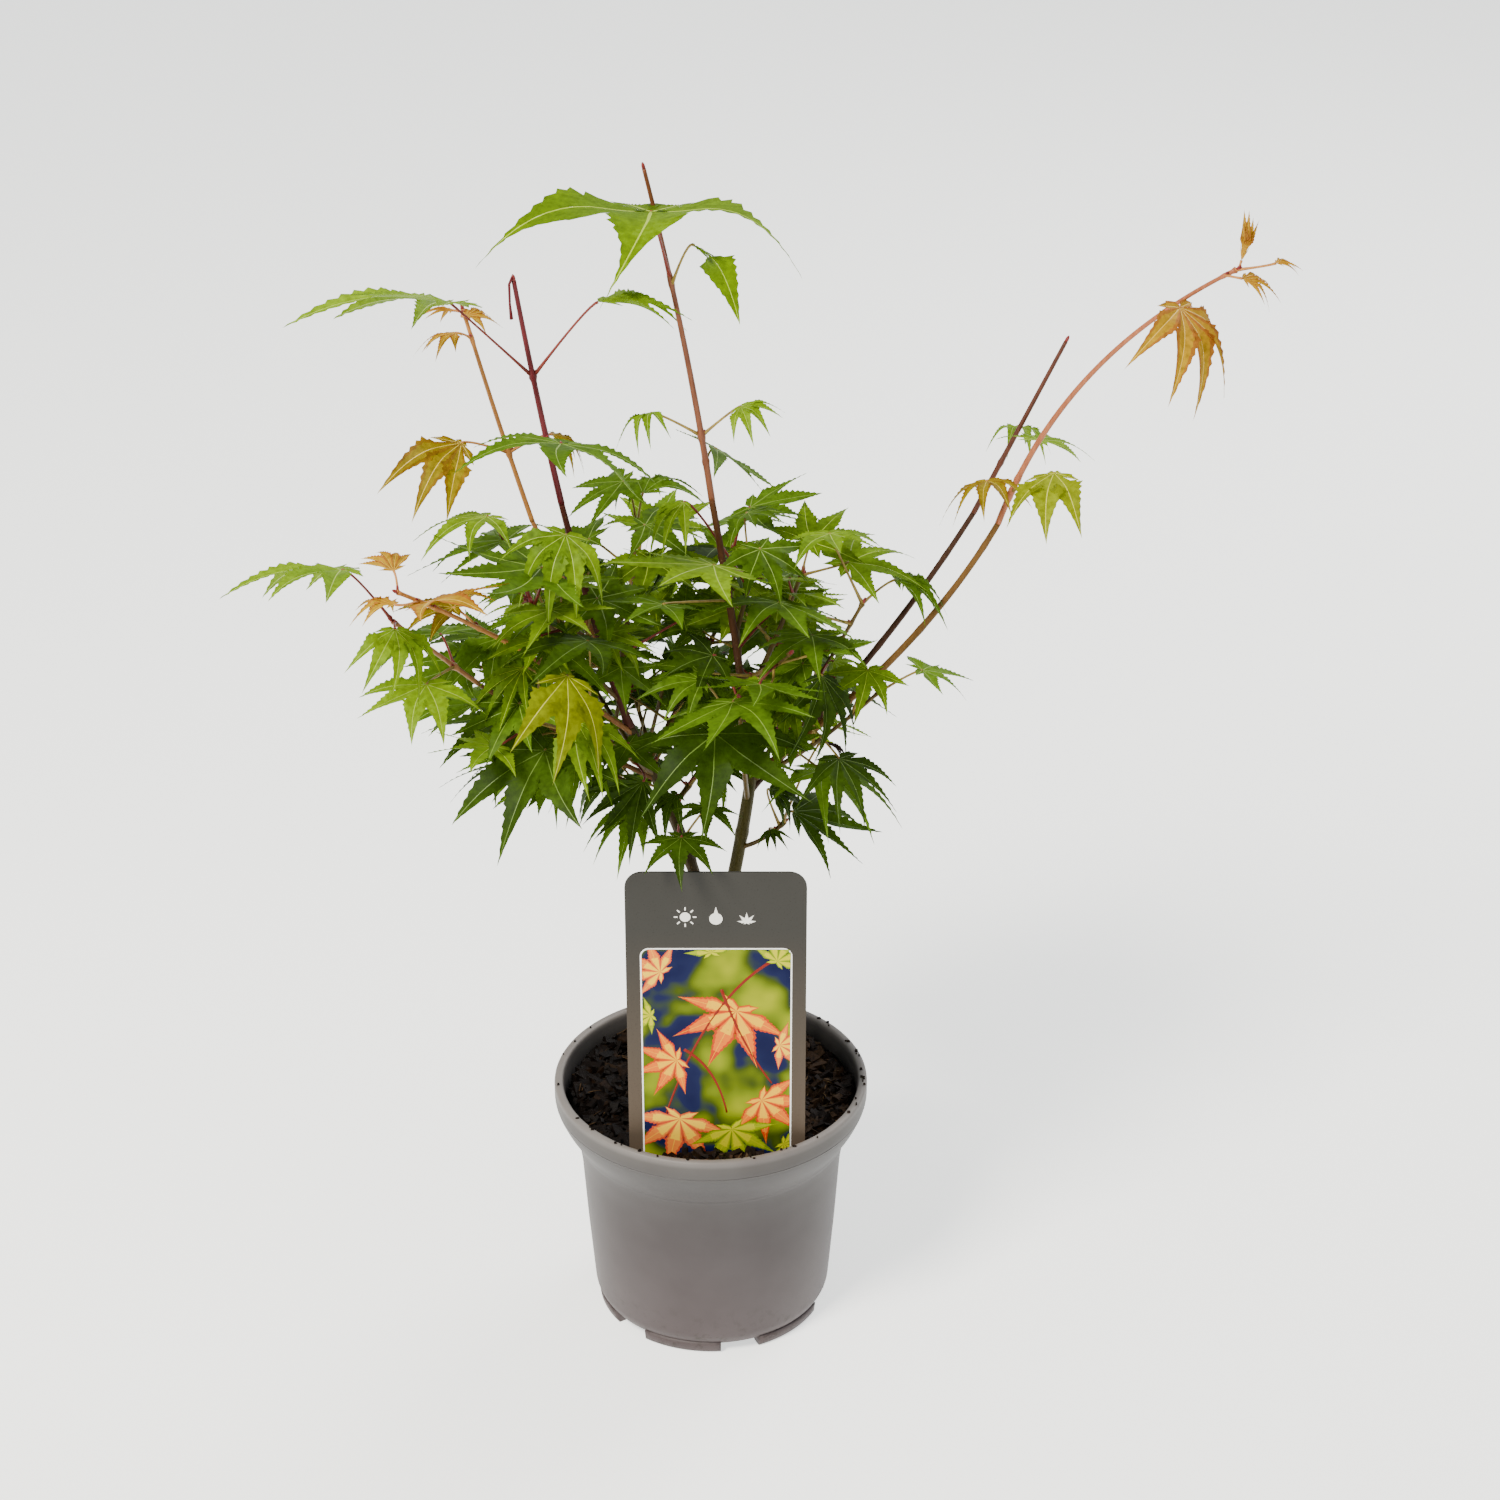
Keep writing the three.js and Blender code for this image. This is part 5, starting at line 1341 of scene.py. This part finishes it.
def pot_plastic():
    """Recycled polypropylene: grey, with painted light: a little pinker below and lighter on the rim; splashed
    dirt near the foot.
    """
    material, tree, shader = new_material("grey-brown polypropylene", Roughness=0.5, Specular_IOR_Level=0.3)
    rise = along_axis(tree, "Z", 0, POT_HEIGHT)
    # Painted light by height: paler, pinker grey at the foot, a lighter rim and an almost white painted
    # highlight on top
    greys_and_painted_light = (0.0, "#4e4546"), (0.5, "#3f393a"), (0.9, "#413f3f"), (0.97, "#4f4c4a"), (1.0, "#787471")
    body = ramp(tree, rise, *greys_and_painted_light)
    cloud = ramp(tree, noise(tree, 30, 3), (0.3, "#e6e2e2"), (0.7, "#ffffff"))
    base = multiplied(tree, body, cloud)
    low = along_axis(tree, "Z", 0, SPLASH_HEIGHT, 0.75, 0.0)
    splash = ramp(tree, noise(tree, 5, 6, roughness=0.7), (0.52, "#000000"), (0.66, "#ffffff"))
    dirt = add_node(tree, "ShaderNodeMath", {0: splash, 1: low}, operation="MULTIPLY")
    tree.links.new(mixed(tree, dirt.outputs[0], base, linear("#2c2520")), shader.inputs["Base Color"])
    bump(tree, shader, noise(tree, 0.5, 3), 0.05, 0.5)
    return material


pot = Gathered([turned_profile(pot_profile(), 128), *map(pot_foot, FOOT_WAYS)])
pot_piece = piece("nursery_pot", pot, pot_plastic(), "pot", ["pot"])

# %% [markdown]
# Six drain holes go through the floor. They could be modelled by hand into the mesh, but a Boolean modifier
# cuts them cleanly, and it is applied at once so that only the pot is left.

# %% The drain holes, one between each two feet
HOLE_RADIUS = 4.5
HOLE_CIRCLE = 33

cutters = Gathered()
for way in FOOT_WAYS:
    centre = HOLE_CIRCLE * heading(way + 30, 0)
    cutters.add(*tube([centre + UP * 1.5, centre + UP * 9], [HOLE_RADIUS, HOLE_RADIUS], 24))
holes = piece("drain_cutters", cutters, pot_piece.data.materials[0], "pot")
cut = pot_piece.modifiers.new("drain holes", "BOOLEAN")
cut.object, cut.operation, cut.solver = holes, "DIFFERENCE", "EXACT"
bpy.context.view_layer.objects.active = pot_piece
bpy.ops.object.modifier_apply(modifier=cut.name)
bpy.data.objects.remove(holes)
print("pot faces:", len(pot_piece.data.polygons))

# %% [markdown]
# ## The potting mix
#
# The mix is composted bark: dark crumbs with loose chips and a few fibres, darker on the left as painted shade.
# A bumpy texture alone would look like cloth from close by. So a dark lumpy bed carries real chips, which lie
# as they fall: flat, at all turns, a few on edge. A physics drop could place them too, but seeded places are
# quicker and the same each run. None of them sits in the label's slot or in the stem. Some crumbs lie on the
# pot's rim.

# %% The bed under the chips
shuffle = np.random.default_rng(86)
BED_RADIUS = 59.6
# The skirt inside the pot, from the bed down to the pot's floor: (radius, height)
BED_SKIRT = [(58.0, 90.5), (54.6, 84), (52.2, 70), (47.6, 9), (46, 6), (0.01, 6)]


def soil_height(radius, turn):
    """The height of the bed: low lumps, and level round the stem."""
    lumps = math.sin(3 * turn + radius * 0.11) + 0.7 * math.sin(5 * turn - radius * 0.17)
    lumps += 0.5 * math.cos(8 * turn)
    share = min(1.0, max(0.0, (radius - 12) / 12))
    return SOIL_HEIGHT + lumps * share * share * (3 - 2 * share)


def mix_bed():
    """The bed: lumps on top, and a skirt inside the pot down to its floor."""
    sides = 120
    turns = [math.tau * j / sides for j in range(sides)]
    points = []
    for radius in [0.01, *np.linspace(3, BED_RADIUS, 26)]:
        for turn in turns:
            rough = 0.7 * math.sin(0.9 * radius + 9 * turn) + 0.5 * math.sin(1.7 * radius - 14 * turn)
            z = soil_height(radius, turn) + rough * min(1, radius / 20) - 0.8
            points.append((radius * math.cos(turn), radius * math.sin(turn), z))
    for radius, z in BED_SKIRT:
        points += [(radius * math.cos(turn), radius * math.sin(turn), z) for turn in turns]
    return np.array(points), ring_walls(len(points) // sides, sides)[:, [1, 0, 3, 2]]


def mix_material(name, light, dark, roughness):
    """Bark with a grain of 3 mm, and painted shade that darkens it on the left."""
    material, tree, shader = new_material(name, Roughness=roughness, Specular_IOR_Level=0.08)
    grain = ramp(tree, noise(tree, 3, 5), (0.3, dark), (0.7, light))
    # Painted shade: the colour darkens towards the left of the pot
    painted_left_shade = ramp(tree, along_axis(tree, "X", -40, 40), (0.1, "#8a8684"), (0.9, "#ffffff"))
    tree.links.new(multiplied(tree, grain, painted_left_shade), shader.inputs["Base Color"])
    bump(tree, shader, noise(tree, 0.8, 4), 0.4, 0.8)
    return material


bed = Gathered([mix_bed()])
bed_skin = mix_material("damp composted bark", "#19120e", "#080504", 0.7)
piece("mix_bed", bed, bed_skin, "potting_mix", ["potting_mix"])

# %% One bark chip
BOX_CORNERS = np.array([(i, j, k) for i in (-1, 1) for j in (-1, 1) for k in (-1, 1)], float)
BOX_FACES = np.array([(0, 1, 3, 2), (4, 6, 7, 5), (0, 4, 5, 1), (2, 3, 7, 6), (0, 2, 6, 4), (1, 5, 7, 3)])
SPOT_REACH, CHIP_REACH, FIBRE_REACH = 58.5, 59.4, 59


def free_spot(dry=False):
    """A seeded spot on the bed, clear of the label's slot and the stem; as painted shade, the left side gets
    few dry chips.
    """
    while True:
        radius = SPOT_REACH * math.sqrt(shuffle.random())
        turn = math.tau * shuffle.random()
        x, y = radius * math.cos(turn), radius * math.sin(turn)
        # Painted shade: most dry chips stay off the left side, so that it looks darker
        painted_left_shade = dry and x < 0 and shuffle.random() < 0.7
        if not painted_left_shade and radius > 9 and (abs(y - LABEL_Y) > 3.2 or abs(x - LABEL_X) > 38):
            return x, y, soil_height(radius, turn), radius


def chip(dry):
    """One chip: a box with eight shaken corners, laid almost flat."""
    x, y, z, radius = free_spot(dry)
    long = shuffle.uniform(3, 9.5)
    half = np.array([long, long * shuffle.uniform(0.25, 0.6), long * shuffle.uniform(0.1, 0.28)]) / 2
    corners = BOX_CORNERS * half * (1 + shuffle.uniform(-0.35, 0.2, (8, 3)))
    turn, tilt, roll = shuffle.uniform(0, math.tau), shuffle.normal(0, 0.42), shuffle.normal(0, 0.3)
    ahead = vec(math.cos(turn) * math.cos(tilt), math.sin(turn) * math.cos(tilt), math.sin(tilt))
    side = turned(unit(np.cross(UP, ahead)), ahead, roll)
    up = np.cross(ahead, side)
    lift = shuffle.uniform(-0.6, 1.6) * (1 if radius < 54 else 0.4)
    inwards = 1 - max(0.0, radius + long / 2 - CHIP_REACH) / radius
    centre = vec(x, y, z + lift) * vec(inwards, inwards, 1)
    points = centre + corners[:, :1] * ahead + corners[:, 1:2] * side + corners[:, 2:] * up
    return points, BOX_FACES


print("corners and faces of a chip:", len(BOX_CORNERS), len(BOX_FACES))

# %% Rim crumbs and fibres
CRUMBS, FIBRES = 46, 140


def rim_crumb():
    """A crumb of mix on the pot's rim."""
    turn, radius = shuffle.uniform(0, math.tau), shuffle.uniform(62.3, 64.1)
    half = shuffle.uniform(0.2, 0.75, 3) * (1, 1, 0.6)
    corners = BOX_CORNERS * half * (1 + shuffle.uniform(-0.3, 0.3, (8, 3)))
    centre = vec(radius * math.cos(turn), radius * math.sin(turn), POT_HEIGHT + half[2] * 0.7)
    return corners + centre, BOX_FACES


def fibre():
    """A thin root or straw that lies on the mix."""
    x, y, z, _ = free_spot()
    turn, long = shuffle.uniform(0, math.tau), shuffle.uniform(5, 14)
    reach = vec(math.cos(turn), math.sin(turn), shuffle.uniform(-0.1, 0.2)) * long
    foot = vec(x, y, z + 0.6)
    tip = foot + reach
    out = math.hypot(tip[0], tip[1])
    if out > FIBRE_REACH:
        tip[:2] *= FIBRE_REACH / out
    middle = (foot + tip) / 2 + shuffle.normal(0, 1.0, 3) + UP
    line = [curve(foot, middle, tip, t) for t in np.linspace(0, 1, 7)]
    return tube(line, np.full(7, shuffle.uniform(0.15, 0.35)), 4)


print("crumbs and fibres:", CRUMBS, FIBRES)

# %% Chips, crumbs and fibres on the bed
# Each kind of chip: its material, light and dark colour, roughness and number
CHIP_KINDS = {
    "dark_bark_chips": ("damp dark bark chip", "#261b14", "#0e0908", 0.56, 1500),
    "brown_bark_chips": ("brown bark chip", "#43301f", "#20150d", 0.6, 520),
    "pale_bark_chips": ("pale bark chip", "#5e4b38", "#33271b", 0.75, 80),
}
# The dark chips lie all over the bed; the others mostly stay off the left, as painted shade
for name, (label, light, dark, roughness, count) in CHIP_KINDS.items():
    chips = Gathered(chip(dry=name != "dark_bark_chips") for _ in range(count))
    piece(name, chips, mix_material(label, light, dark, roughness), "potting_mix", smooth=False)
crumbs = Gathered(rim_crumb() for _ in range(CRUMBS))
crumb_skin = mix_material("crumb of bark on the rim", "#2a1f17", "#120c08", 0.8)
piece("rim_crumbs", crumbs, crumb_skin, "potting_mix", smooth=False)
fibres = Gathered(fibre() for _ in range(FIBRES))
piece("mix_fibres", fibres, mix_material("dry fibre", "#7d6446", "#4a3725", 0.8), "potting_mix")

# %% [markdown]
# ## The plant label
#
# A tall card of printed polypropylene with rounded top corners and a pointed foot in the mix. Its front has a
# grey header with three small care signs, and below it a picture in a white border. An image texture is the
# usual way to print a card. Here the print is thin flat shapes instead, so that it stays sharp from close by
# and comes along with the mesh. The picture is a design of its own: leaves in pink-orange and yellow-green
# over blurred dark blue and green, cut off at the border as a photograph would cut them.

# %% Flat shapes for the label
CARD_THICKNESS = 0.9
CARD_HALF = LABEL_WIDTH / 2
CARD_SHOULDER = 94
FRONT = LABEL_Y - CARD_THICKNESS / 2
# Each layer of print lies a few hundredths of a millimetre in front of the last
INK_FACE, GROUND_FACE, LEAVES_FACE = FRONT - 0.05, FRONT - 0.08, FRONT - 0.09
PICTURE_LOW, PICTURE_HIGH, PICTURE_HALF = 96, 194.3, 29.3
BORDER = 0.6


def rounded_card(left, right, low, high, radius, steps=8):
    """The outline of a card, counter-clockwise from its right side's top, as (x, z)."""
    corners = [
        (right - radius, high - radius, 0), (left + radius, high - radius, 90),
        (left + radius, low + radius, 180), (right - radius, low + radius, 270),
    ]
    return [
        (x + radius * math.cos(turn), z + radius * math.sin(turn))
        for x, z, start in corners
        for turn in np.radians(np.linspace(start, start + 90, steps + 1))
    ]


def plate(outline, front, back):
    """A flat plate between two depths (y), from an outline of (x, z)."""
    n = len(outline)
    points = np.array([(x, front, z) for x, z in outline] + [(x, back, z) for x, z in outline])
    i = np.arange(n)
    k = (i + 1) % n
    return points, i[None], i[None, ::-1] + n, np.stack([k, i, i + n, k + n], 1)


def picture_plate(margin, front, back):
    """A plate as large as the picture and a margin round it."""
    half = PICTURE_HALF + margin
    low, high = PICTURE_LOW - margin, PICTURE_HIGH + margin
    outline = rounded_card(LABEL_X - half, LABEL_X + half, low, high, 3 + margin)
    return plate(outline, front, back)


def card_material(name, top, foot=None, roughness=0.45):
    """Printed or bare card; foot is its colour at the mix, from where it fades into the top colour upwards."""
    material, tree, shader = new_material(name, Roughness=roughness, Specular_IOR_Level=0.08)
    rise = along_axis(tree, "Z", SOIL_HEIGHT, LABEL_TOP)
    print_colour = ramp(tree, rise, (0.0, foot or top), (0.8, top))
    speck = ramp(tree, noise(tree, 0.7, 2), (0.6, "#ffffff"), (0.8, "#d8d8d8"))
    tree.links.new(multiplied(tree, print_colour, speck), shader.inputs["Base Color"])
    return material


print("card (mm):", LABEL_WIDTH, "x", LABEL_TOP - CARD_SHOULDER, "above its shoulder")

# %% The card, its border and its picture
top_corners = rounded_card(LABEL_X - CARD_HALF, LABEL_X + CARD_HALF, CARD_SHOULDER, LABEL_TOP, 7)[:18]
card_outline = [
    (LABEL_X + 11, 66), (LABEL_X + 11, 86), (LABEL_X + CARD_HALF, CARD_SHOULDER), *top_corners,
    (LABEL_X - CARD_HALF, CARD_SHOULDER), (LABEL_X - 11, 86), (LABEL_X - 11, 66), (LABEL_X, 52),
]
card = Gathered([plate(card_outline, FRONT, FRONT + CARD_THICKNESS)])
card_skin = card_material("dark grey polypropylene card", "#363532", "#55493d")
piece("label_card", card, card_skin, "label", ["label"], smooth=False)
border = Gathered([picture_plate(BORDER, INK_FACE, FRONT)])
piece("picture_border", border, card_material("white print", "#f2f2ee"), "label", smooth=False)


def picture_ground():
    """Blurred garden colours behind the printed leaves."""
    material, tree, shader = new_material("printed blurred garden", Roughness=0.42, Specular_IOR_Level=0.08)
    blues = (0.3, "#0a0f36"), (0.41, "#141a3e")
    greens = (0.46, "#364404"), (0.56, "#667602"), (0.68, "#8c9402")
    tree.links.new(ramp(tree, noise(tree, 19, 1.5), *blues, *greens), shader.inputs["Base Color"])
    return material


picture = Gathered([picture_plate(0, GROUND_FACE, FRONT - 0.04)])
piece("picture_ground", picture, picture_ground(), "label", smooth=False)

# %% Printed leaves
# Each colour: the hues of its leaves' edges, blades and middles, and where its leaves lie: x from the
# label's middle, height, turn in degrees, and size
PRINTED = {
    "orange": (("#b4380e", "#d66a14", "#e6ac0e"), [
        (8, 166, 246, 29), (-16, 143, 200, 20), (18, 124, 316, 22),
    ]),
    "salmon": (("#be4a2a", "#d8762e", "#eabc28"), [
        (-15, 115, 258, 26), (-22, 184, 150, 17), (25, 150, 350, 14),
    ]),
    "lime": (("#667c00", "#8e9c02", "#b8b408"), [
        (6, 110, 286, 22), (-2, 193, 100, 13), (24, 189, 62, 14), (-26, 164, 190, 11), (27, 103, 330, 13),
    ]),
}
# How far out along its lobes each of the three layers reaches, and how much narrower each is than the last
LAYER_REACH = (9, 0.72, 0.42)
LAYER_SLIMMER, LAYER_STEP = 0.24, 0.003
PRINT_ROUGHNESS = 0.32
flat_blade, flat_rib, flat_inner, flat_edge = blade_patterns["seven"][0]
leaf_face = LEAVES_FACE


def printed(pattern, x, z, turn, size, depth):
    """A flat leaf pattern on the label, at x and z, turned and sized."""
    s, q, lobe, _, _ = pattern.T
    angle = np.radians(np.array(BLADE_ANGLES))[lobe.astype(int)] + math.radians(turn)
    across, rise = s * np.cos(angle) - q * np.sin(angle), s * np.sin(angle) + q * np.cos(angle)
    return np.stack([LABEL_X + x + size * across, np.full(len(s), depth), z + size * rise], 1)


def add_cropped(shape, points, faces, reach=LAYER_REACH[0]):
    """Adds the faces up to a share of the lobes, cropped at the picture's border."""
    low = np.array([LABEL_X - PICTURE_HALF, -1000, PICTURE_LOW])
    high = np.array([LABEL_X + PICTURE_HALF, 1000, PICTURE_HIGH])
    inside = ((points > low) & (points < high)).all(1)
    kept = inside[faces].any(1) & (flat_blade[faces[:, 0], 0] < reach)
    if kept.any():
        shape.add(np.clip(points, low, high), faces[kept])


for name, (hues, spots) in PRINTED.items():
    layers = [Gathered() for _ in hues]
    for x, z, turn, size in spots:
        for layer, shape in enumerate(layers):
            slimmer = flat_blade * np.array([1 - 0.04 * layer, 1 - LAYER_SLIMMER * layer, 1, 1, 1])
            points = printed(slimmer, x, z, turn, size, leaf_face - LAYER_STEP * layer)
            for faces in (flat_rib, flat_inner, flat_edge):
                add_cropped(shape, points, faces, LAYER_REACH[layer])
        points = printed(flat_blade, x, z, turn, size, leaf_face - 3 * LAYER_STEP)
        add_cropped(layers[-1], points, flat_rib)
        leaf_face -= 4 * LAYER_STEP
    for part, hexa, shape in zip(("edges", "blades", "middles"), hues, layers):
        skin = card_material(f"printed {name} leaf {part}", hexa, roughness=PRINT_ROUGHNESS)
        piece(f"printed_{name}_leaf_{part}", shape, skin, "label")

# %% The printed shoots: foot, handle and tip of each, from the label's middle
SHOOTS = [
    ((27, 192), (-4, 176), (-22, 112)),
    ((2, 176), (10, 150), (22, 132)),
    ((-13, 148), (0, 140), (4, 118)),
]
FLATTENED = 0.04

shoots = Gathered()
for spots in SHOOTS:
    foot, handle, tip = (vec(LABEL_X + x, GROUND_FACE, z) for x, z in spots)
    line = [curve(foot, handle, tip, t) for t in np.linspace(0, 1, 16)]
    points, walls, caps = tube(line, np.linspace(0.75, 0.4, 16), 6)
    points[:, 1] = GROUND_FACE + (points[:, 1] - GROUND_FACE) * FLATTENED
    shoots.add(points, walls, caps)
shoot_skin = card_material("printed red shoot", "#7a2218", roughness=PRINT_ROUGHNESS)
piece("printed_shoot", shoots, shoot_skin, "label")

# %% Care signs in the bare header: sun, drop and leaf
SIGN_SPACING = 12
SUN_HEIGHT, DROP_HEIGHT, LEAF_HEIGHT = 209, 208.2, 206.6
SUN_X = LABEL_X - SIGN_SPACING


def disc(x, z, radius):
    turns = np.linspace(0, math.tau, 20, endpoint=False)
    return [(x + radius * math.cos(turn), z + radius * math.sin(turn)) for turn in turns]


def sun_ray(turn):
    """One ray of the sun, which narrows outwards."""
    corners = ((3.0, -0.1), (4.4, -0.06), (4.4, 0.06), (3.0, 0.1))
    return [(SUN_X + r * math.cos(turn + o), SUN_HEIGHT + r * math.sin(turn + o)) for r, o in corners]


drop = disc(LABEL_X, DROP_HEIGHT, 2.6)
drop[5] = (LABEL_X, DROP_HEIGHT + 5.4)
outlines = [disc(SUN_X, SUN_HEIGHT, 2.1), *(sun_ray(math.tau * k / 8) for k in range(8)), drop]
signs = Gathered(plate(outline, INK_FACE, FRONT) for outline in outlines)
small_leaf = printed(flat_blade, SIGN_SPACING, LEAF_HEIGHT, 90, 4.6, INK_FACE)
signs.add(small_leaf, flat_rib, flat_inner, flat_edge)
piece("care_signs", signs, card_material("white print on card", "#e9e8e2"), "label", smooth=False)

# %% [markdown]
# ## Floor, light and camera
#
# A product picture has a white floor without a horizon and soft light from above. A sheet that curves up
# behind would do it too; here the floor glows a little, which hides its far edge. A large warm key stands at
# the left, a weaker lamp lights the rim from behind, and the world fills the shadows. The camera looks
# 27.5 degrees down through a long lens, so that the pot's sides stay almost parallel.

# %% Studio
bpy.ops.mesh.primitive_plane_add(size=12)
floor = bpy.context.object
floor.name = "studio_floor"
floor_paint, _, _ = new_material(
    "white studio floor", Base_Color=linear("#f4f5f3"), Roughness=0.7, Specular_IOR_Level=0.0,
    Emission_Color=linear("#f8faf8"), Emission_Strength=1.15,
)
floor.data.materials.append(floor_paint)
print("floor:", [round(v, 1) for v in floor.dimensions[:2]], "m")

world = bpy.data.worlds.new("soft white studio")
bpy.context.scene.world = world
world.use_nodes = True
sky = world.node_tree.nodes["Background"].inputs
sky["Color"].default_value, sky["Strength"].default_value = linear("#f5f8fa"), 0.68


def area_light(name, place, aim, size, power, hexa="#ffffff"):
    """A square soft lamp, size in metres and power in watts, that looks at a point."""
    data = bpy.data.lights.new(name, "AREA")
    data.size, data.energy, data.color = size, power, linear(hexa)[:3]
    lamp = bpy.data.objects.new(name, data)
    bpy.context.scene.collection.objects.link(lamp)
    lamp.location = place
    lamp.rotation_euler = (Vector(aim) - Vector(place)).to_track_quat("-Z", "Y").to_euler()


area_light("key", (-0.9, -1.1, 1.8), (0, 0, 0.25), 0.6, 84, "#fff8ec")
area_light("rim", (1.0, 1.1, 1.3), (0, 0, 0.3), 0.9, 22)

# %% Camera
camera_data = bpy.data.cameras.new("camera")
camera_data.lens, camera_data.sensor_width = 80, 36
camera = bpy.data.objects.new("camera", camera_data)
bpy.context.scene.collection.objects.link(camera)
camera.location = (0.0163, -1.1673, 0.8667)
camera.rotation_euler = (Vector((0.0163, 0, 0.259)) - camera.location).to_track_quat("-Z", "Y").to_euler()
bpy.context.scene.camera = camera
print("camera looks down by", round(90 - math.degrees(camera.rotation_euler.x), 1), "degrees")
